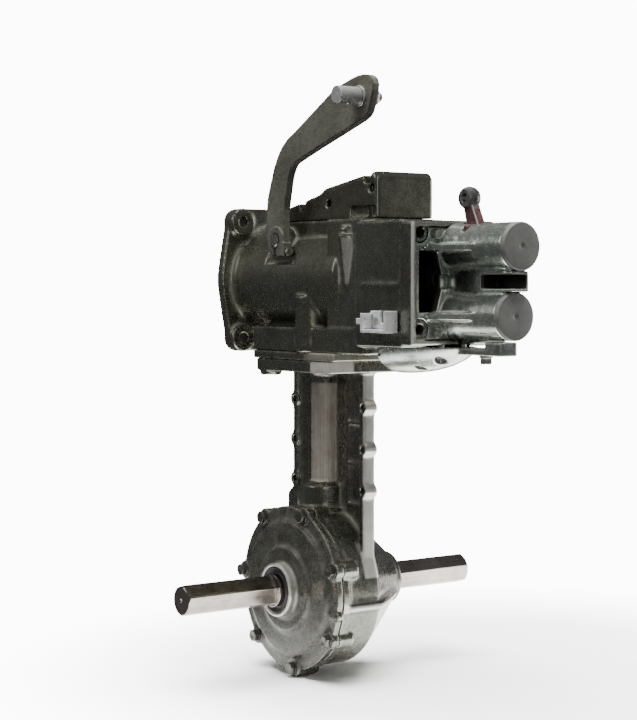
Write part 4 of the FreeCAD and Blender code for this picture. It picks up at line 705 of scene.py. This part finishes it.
def turned(node, axis, at, pts, rad=0.4, steps=128, mat=None, hollow=False):
    """A turned piece: (radius, height) corners in mm from a point on its axis."""
    global STEPS
    STEPS = steps
    bm = bmesh.new()
    prof = rounded_profile(pts, rad)
    if hollow:
        loft(bm, prof, axis, at, capped=False)
    else:
        loft(bm, [(max(r, 0.02), h) for r, h in prof], axis, at)
    STEPS = 72
    return done(bm, "look_" + node, node, mat, 40)


def bolt_into(bm, axis, at, rad, length, flats, head, washer=0.0, seed=0.0):
    """Chamfered hexagon head with a dished top, washer and shank; the head is
    on the far side of the point from the shank."""
    half = flats / 2
    top = -head - washer
    hexr = hexagon_radius(half, seed, 0.985)
    inner = half * 0.94
    rings = [(0.05, top + head * 0.06), (half * 0.45, top + head * 0.06), (half * 0.62, top), (inner, top),
             (hexr * 0.985, top + (hexr - inner) * 0.5), (hexr, top + (hexr - inner) * 0.58 + 0.12),
             (hexr, -washer - 0.32), (hexr * 0.99, -washer - 0.2), (half * 0.95, -washer - 0.15), (half * 0.93, -washer + 0.02),
             (0.05, -washer + 0.02)]
    loft(bm, rings, axis, at)
    if washer:
        r = flats * 0.61
        loft(bm, [(rad, -washer), (r - 0.25, -washer), (r, -washer + 0.25), (r, -0.2), (r - 0.2, 0.0), (rad, 0.0)], axis, at)
    loft(bm, [(0.05, -0.1), (rad, -0.1), (rad, length - rad * 0.3), (rad * 0.75, length), (0.05, length)], axis, at)


def bolts(node, items):
    bm = bmesh.new()
    for axis, at, rad, length, flats, head, washer in items:
        bolt_into(bm, axis, at, rad, length, flats, head, washer, RNG.uniform(0, 1.04))
    return done(bm, "look_" + node, node, None, 30)


bolts("flange_bolt", [("-x", (10, -22, -56.5), 4, 9.5, 11.5, 5.5, 1.2)])
bolts("top_cover_bolts", [("-z", (x, y, 62 if x < 100 else 83), 3, 17 if x < 100 else 38, 10, 4, 0) for x, y in COVER_BOLTS])
bolts("rear_carrier_bolts", [("-x", (274, y, z), 3, 20, 8, 3.5, 0) for y, z in CARRIER_BOLTS])
bolts("cable_bracket_bolts", [("y", (x, -53.5, -35), 2, 8, 6, 2.5, 0) for x in (232, 249.5)])
bolts("tow_bracket_bolts", [("z", (x, y, -62), 3, 11, 8, 3, 0) for x, y in TOW_BOLTS] + [("z", (309, 0, -62), 3, 6, 9, 5, 2)])
bolts("column_flange_bolts", [("z", (x, y, -76), 4, 21, 12, 5.5, 0) for x, y in COLUMN_BOLTS])
bolts("lower_cover_bolts", [("y", (x, -42.5, z), 3, 18, 10, 4, 1) for x, z in EARS])
bolts("lever_clamp_bolt", [("-x", (95, -47, 25), 2, 26, 7, 3, 0)])
bolts("drain_plug", [("x", (15.5, -14, -314), 4.95, 10, 14, 5, 1)])

turned("upper_boss_cap", "x", (343, 0, 26), [(0, 0), (11.9, 0), (11.9, 5), (19.5, 5), (19.5, 8), (18.6, 9), (3.0, 9), (0, 7.6)], 0.25,
       mat=DISC_UPPER)
turned("lower_boss_cap", "x", (335, 0, -30), [(0, 0), (15.9, 0), (15.9, 6), (19.5, 6), (19.5, 9), (18.6, 10), (3.0, 10), (0, 8.6)], 0.25,
       mat=DISC_LOWER)
for side, node in ((-1, "axle_seal_left"), (1, "axle_seal_right")):
    start = (88, -50.5, -278) if side < 0 else (88, 63.5, -278)
    turned(node, "-y" if side < 0 else "y", start, [
        (19, 0), (20.95, 0), (20.95, 6), (19.4, 6), (19.0, 5.2), (17.4, 5.0), (17.0, 4.2), (16.2, 4.4), (15.6, 5.4), (15.02, 5.4),
        (15.02, 4.2), (15.6, 4.0), (19, 4.0)], 0.25, hollow=True)
STEPS = 144
nut_hex = hexagon_radius(8, 0.35, 0.985)
nut = bmesh.new()
loft(nut, [(4.02, 0.0), (9.5, 0.0), (9.8, 0.3), (9.8, 1.5), (9.5, 1.8), (4.02, 1.8)], "y", (204, -42.5, 153.5), capped=False)
loft(nut, [(4.02, 1.8), (7.6, 1.8), (nut_hex * 0.985, 2.1), (nut_hex, 2.6), (nut_hex, 7.5), (nut_hex * 0.985, 7.9), (7.5, 8.5), (4.7, 8.5),
           (4.02, 7.9)], "y", (204, -42.5, 153.5), capped=False)
STEPS = 72
done(nut, "look_cable_swivel_nut", "cable_swivel_nut", None, 30)

# the hexagonal axle: drawn flats, turned end chamfers and journals
STEPS = 180
hexr = hexagon_radius(12.5, math.radians(17.5), 0.988)
axle = bmesh.new()
rows = []
for end, s in ((-155, 1), (160, -1)):
    part = [(0.05, end + s * 1.2), (1.6, end + s * 0.2), (2.0, end), (np.minimum(hexr, 12.0), end)]
    part += [(np.minimum(hexr, q), end + s * h) for q, h in ((12.5, 0.3), (13.1, 0.9), (13.6, 1.4), (14.0, 1.8))]
    part += [(hexr, end + s * 2.4)]
    rows.append(part)
middle = [(hexr, -61), (14.5, -61), (14.96, -60.6), (14.96, -31.2), (17.0, -30.8), (17.45, -30.4), (17.45, 38.4), (17.0, 38.8), (14.96, 39.2),
          (14.96, 73.6), (14.5, 74), (hexr, 74)]
loft(axle, rows[0] + middle + rows[1][::-1], "y", (88, 0, -278))
STEPS = 72
done(axle, "look_tine_axle", "tine_axle", None, 25)

# ------------------------------------------------------------ floor and light
floor_mesh = bpy.data.meshes.new("floor")
size = 0.7
low = cad_bounds[0][2] - 0.0005
floor_mesh.from_pydata([(-size, -size, low), (size, -size, low), (size, size, low), (-size, size, low)], [], [(0, 1, 2, 3)])
floor = bpy.data.objects.new("floor", floor_mesh)
SCENE.collection.objects.link(floor)
fm = Mat("pale_floor")
fm.set("Base Color", fm.mix(fm.span(fm.noise(3, 4), 0.3, 0.7), (0.84, 0.84, 0.835), (0.87, 0.87, 0.865)))
fm.set("Roughness", fm.span(fm.noise(40, 3), 0.3, 0.7, 0.75, 0.9))
fm.b.inputs["Specular IOR Level"].default_value = 0.1
# the sheet runs out softly into the pale backdrop
out = [n for n in fm.t.nodes if n.type == "OUTPUT_MATERIAL"][0]
clear = fm.node("ShaderNodeBsdfTransparent")
join = fm.node("ShaderNodeMixShader")
fm.put(join.inputs[0], fm.span(fm.radius("Z", 0.15, 0.12), 0.20, 0.50, kind="SMOOTHSTEP"))
fm.t.links.new(fm.b.outputs["BSDF"], join.inputs[1])
fm.t.links.new(clear.outputs[0], join.inputs[2])
fm.t.links.new(join.outputs[0], out.inputs["Surface"])
floor_mesh.materials.append(fm.m)

# pale backdrop for the camera, a dim room with a soft ceiling for everything else
BACKDROP = 12.0
world = bpy.data.worlds.new("studio")
SCENE.world = world
world.use_nodes = True
wt = world.node_tree
bg = wt.nodes["Background"]
path = wt.nodes.new("ShaderNodeLightPath")
where = wt.nodes.new("ShaderNodeTexCoord")
split = wt.nodes.new("ShaderNodeSeparateXYZ")
wt.links.new(where.outputs["Generated"], split.inputs[0])
level = wt.nodes.new("ShaderNodeMapRange")
level.interpolation_type = "SMOOTHSTEP"
wt.links.new(split.outputs["Z"], level.inputs["Value"])
for key, v in (("From Min", 0.0), ("From Max", 0.9), ("To Min", 0.095), ("To Max", 0.14)):
    level.inputs[key].default_value = v
pick = wt.nodes.new("ShaderNodeMix")
pick.data_type = "FLOAT"
wt.links.new(path.outputs["Is Camera Ray"], pick.inputs[0])
wt.links.new(level.outputs["Result"], pick.inputs[2])
pick.inputs[3].default_value = BACKDROP
bg.inputs[0].default_value = (1.0, 1.0, 1.0, 1)
wt.links.new(pick.outputs[0], bg.inputs[1])

AZ, EL, DIST = math.radians(54), math.radians(2.4), 1.640
back = Vector((math.sin(AZ) * math.cos(EL), -math.cos(AZ) * math.cos(EL), math.sin(EL)))
right = Vector((math.cos(AZ), math.sin(AZ), 0))
up = right.cross(-back).normalized() * 1.0
aim = Vector((0.088, 0, -0.073))


def area(name, where, target, w, h, power, colour=(1, 1, 1)):
    data = bpy.data.lights.new(name, "AREA")
    data.shape = "RECTANGLE"
    data.size, data.size_y = w, h
    data.energy = power
    data.color = colour
    obj = bpy.data.objects.new(name, data)
    SCENE.collection.objects.link(obj)
    obj.location = where
    obj.rotation_euler = (Vector(target) - Vector(where)).to_track_quat("-Z", "Y").to_euler()
    return obj


Z = Vector((0, 0, 1))
sheet = area("sheet", aim + Z * 2.2 + back * 0.2, Vector((0.088, 0, -0.35)), 2.4, 2.4, 520)
sheet.visible_glossy = False
area("front", aim + back * 2.6 + Z * 0.55 - right * 0.1, aim, 0.9, 1.5, 5)
area("left", aim + back * 0.2 - right * 1.9 + Z * 1.0, aim, 0.9, 0.9, 4.5)
area("right", aim - back * 0.3 + right * 1.9 + Z * 0.05, aim, 0.8, 1.0, 9)
area("top", aim + Z * 1.6 - back * 0.7, aim, 1.0, 0.6, 2)

cam = bpy.data.cameras.new("camera")
cam.lens = 90
cam.sensor_width = 36
cam.shift_x = -7.5 / 720
cam.clip_end = 100
camera = bpy.data.objects.new("camera", cam)
SCENE.collection.objects.link(camera)
camera.location = aim + back * DIST
camera.rotation_euler = (-back).to_track_quat("-Z", "Y").to_euler()
SCENE.camera = camera
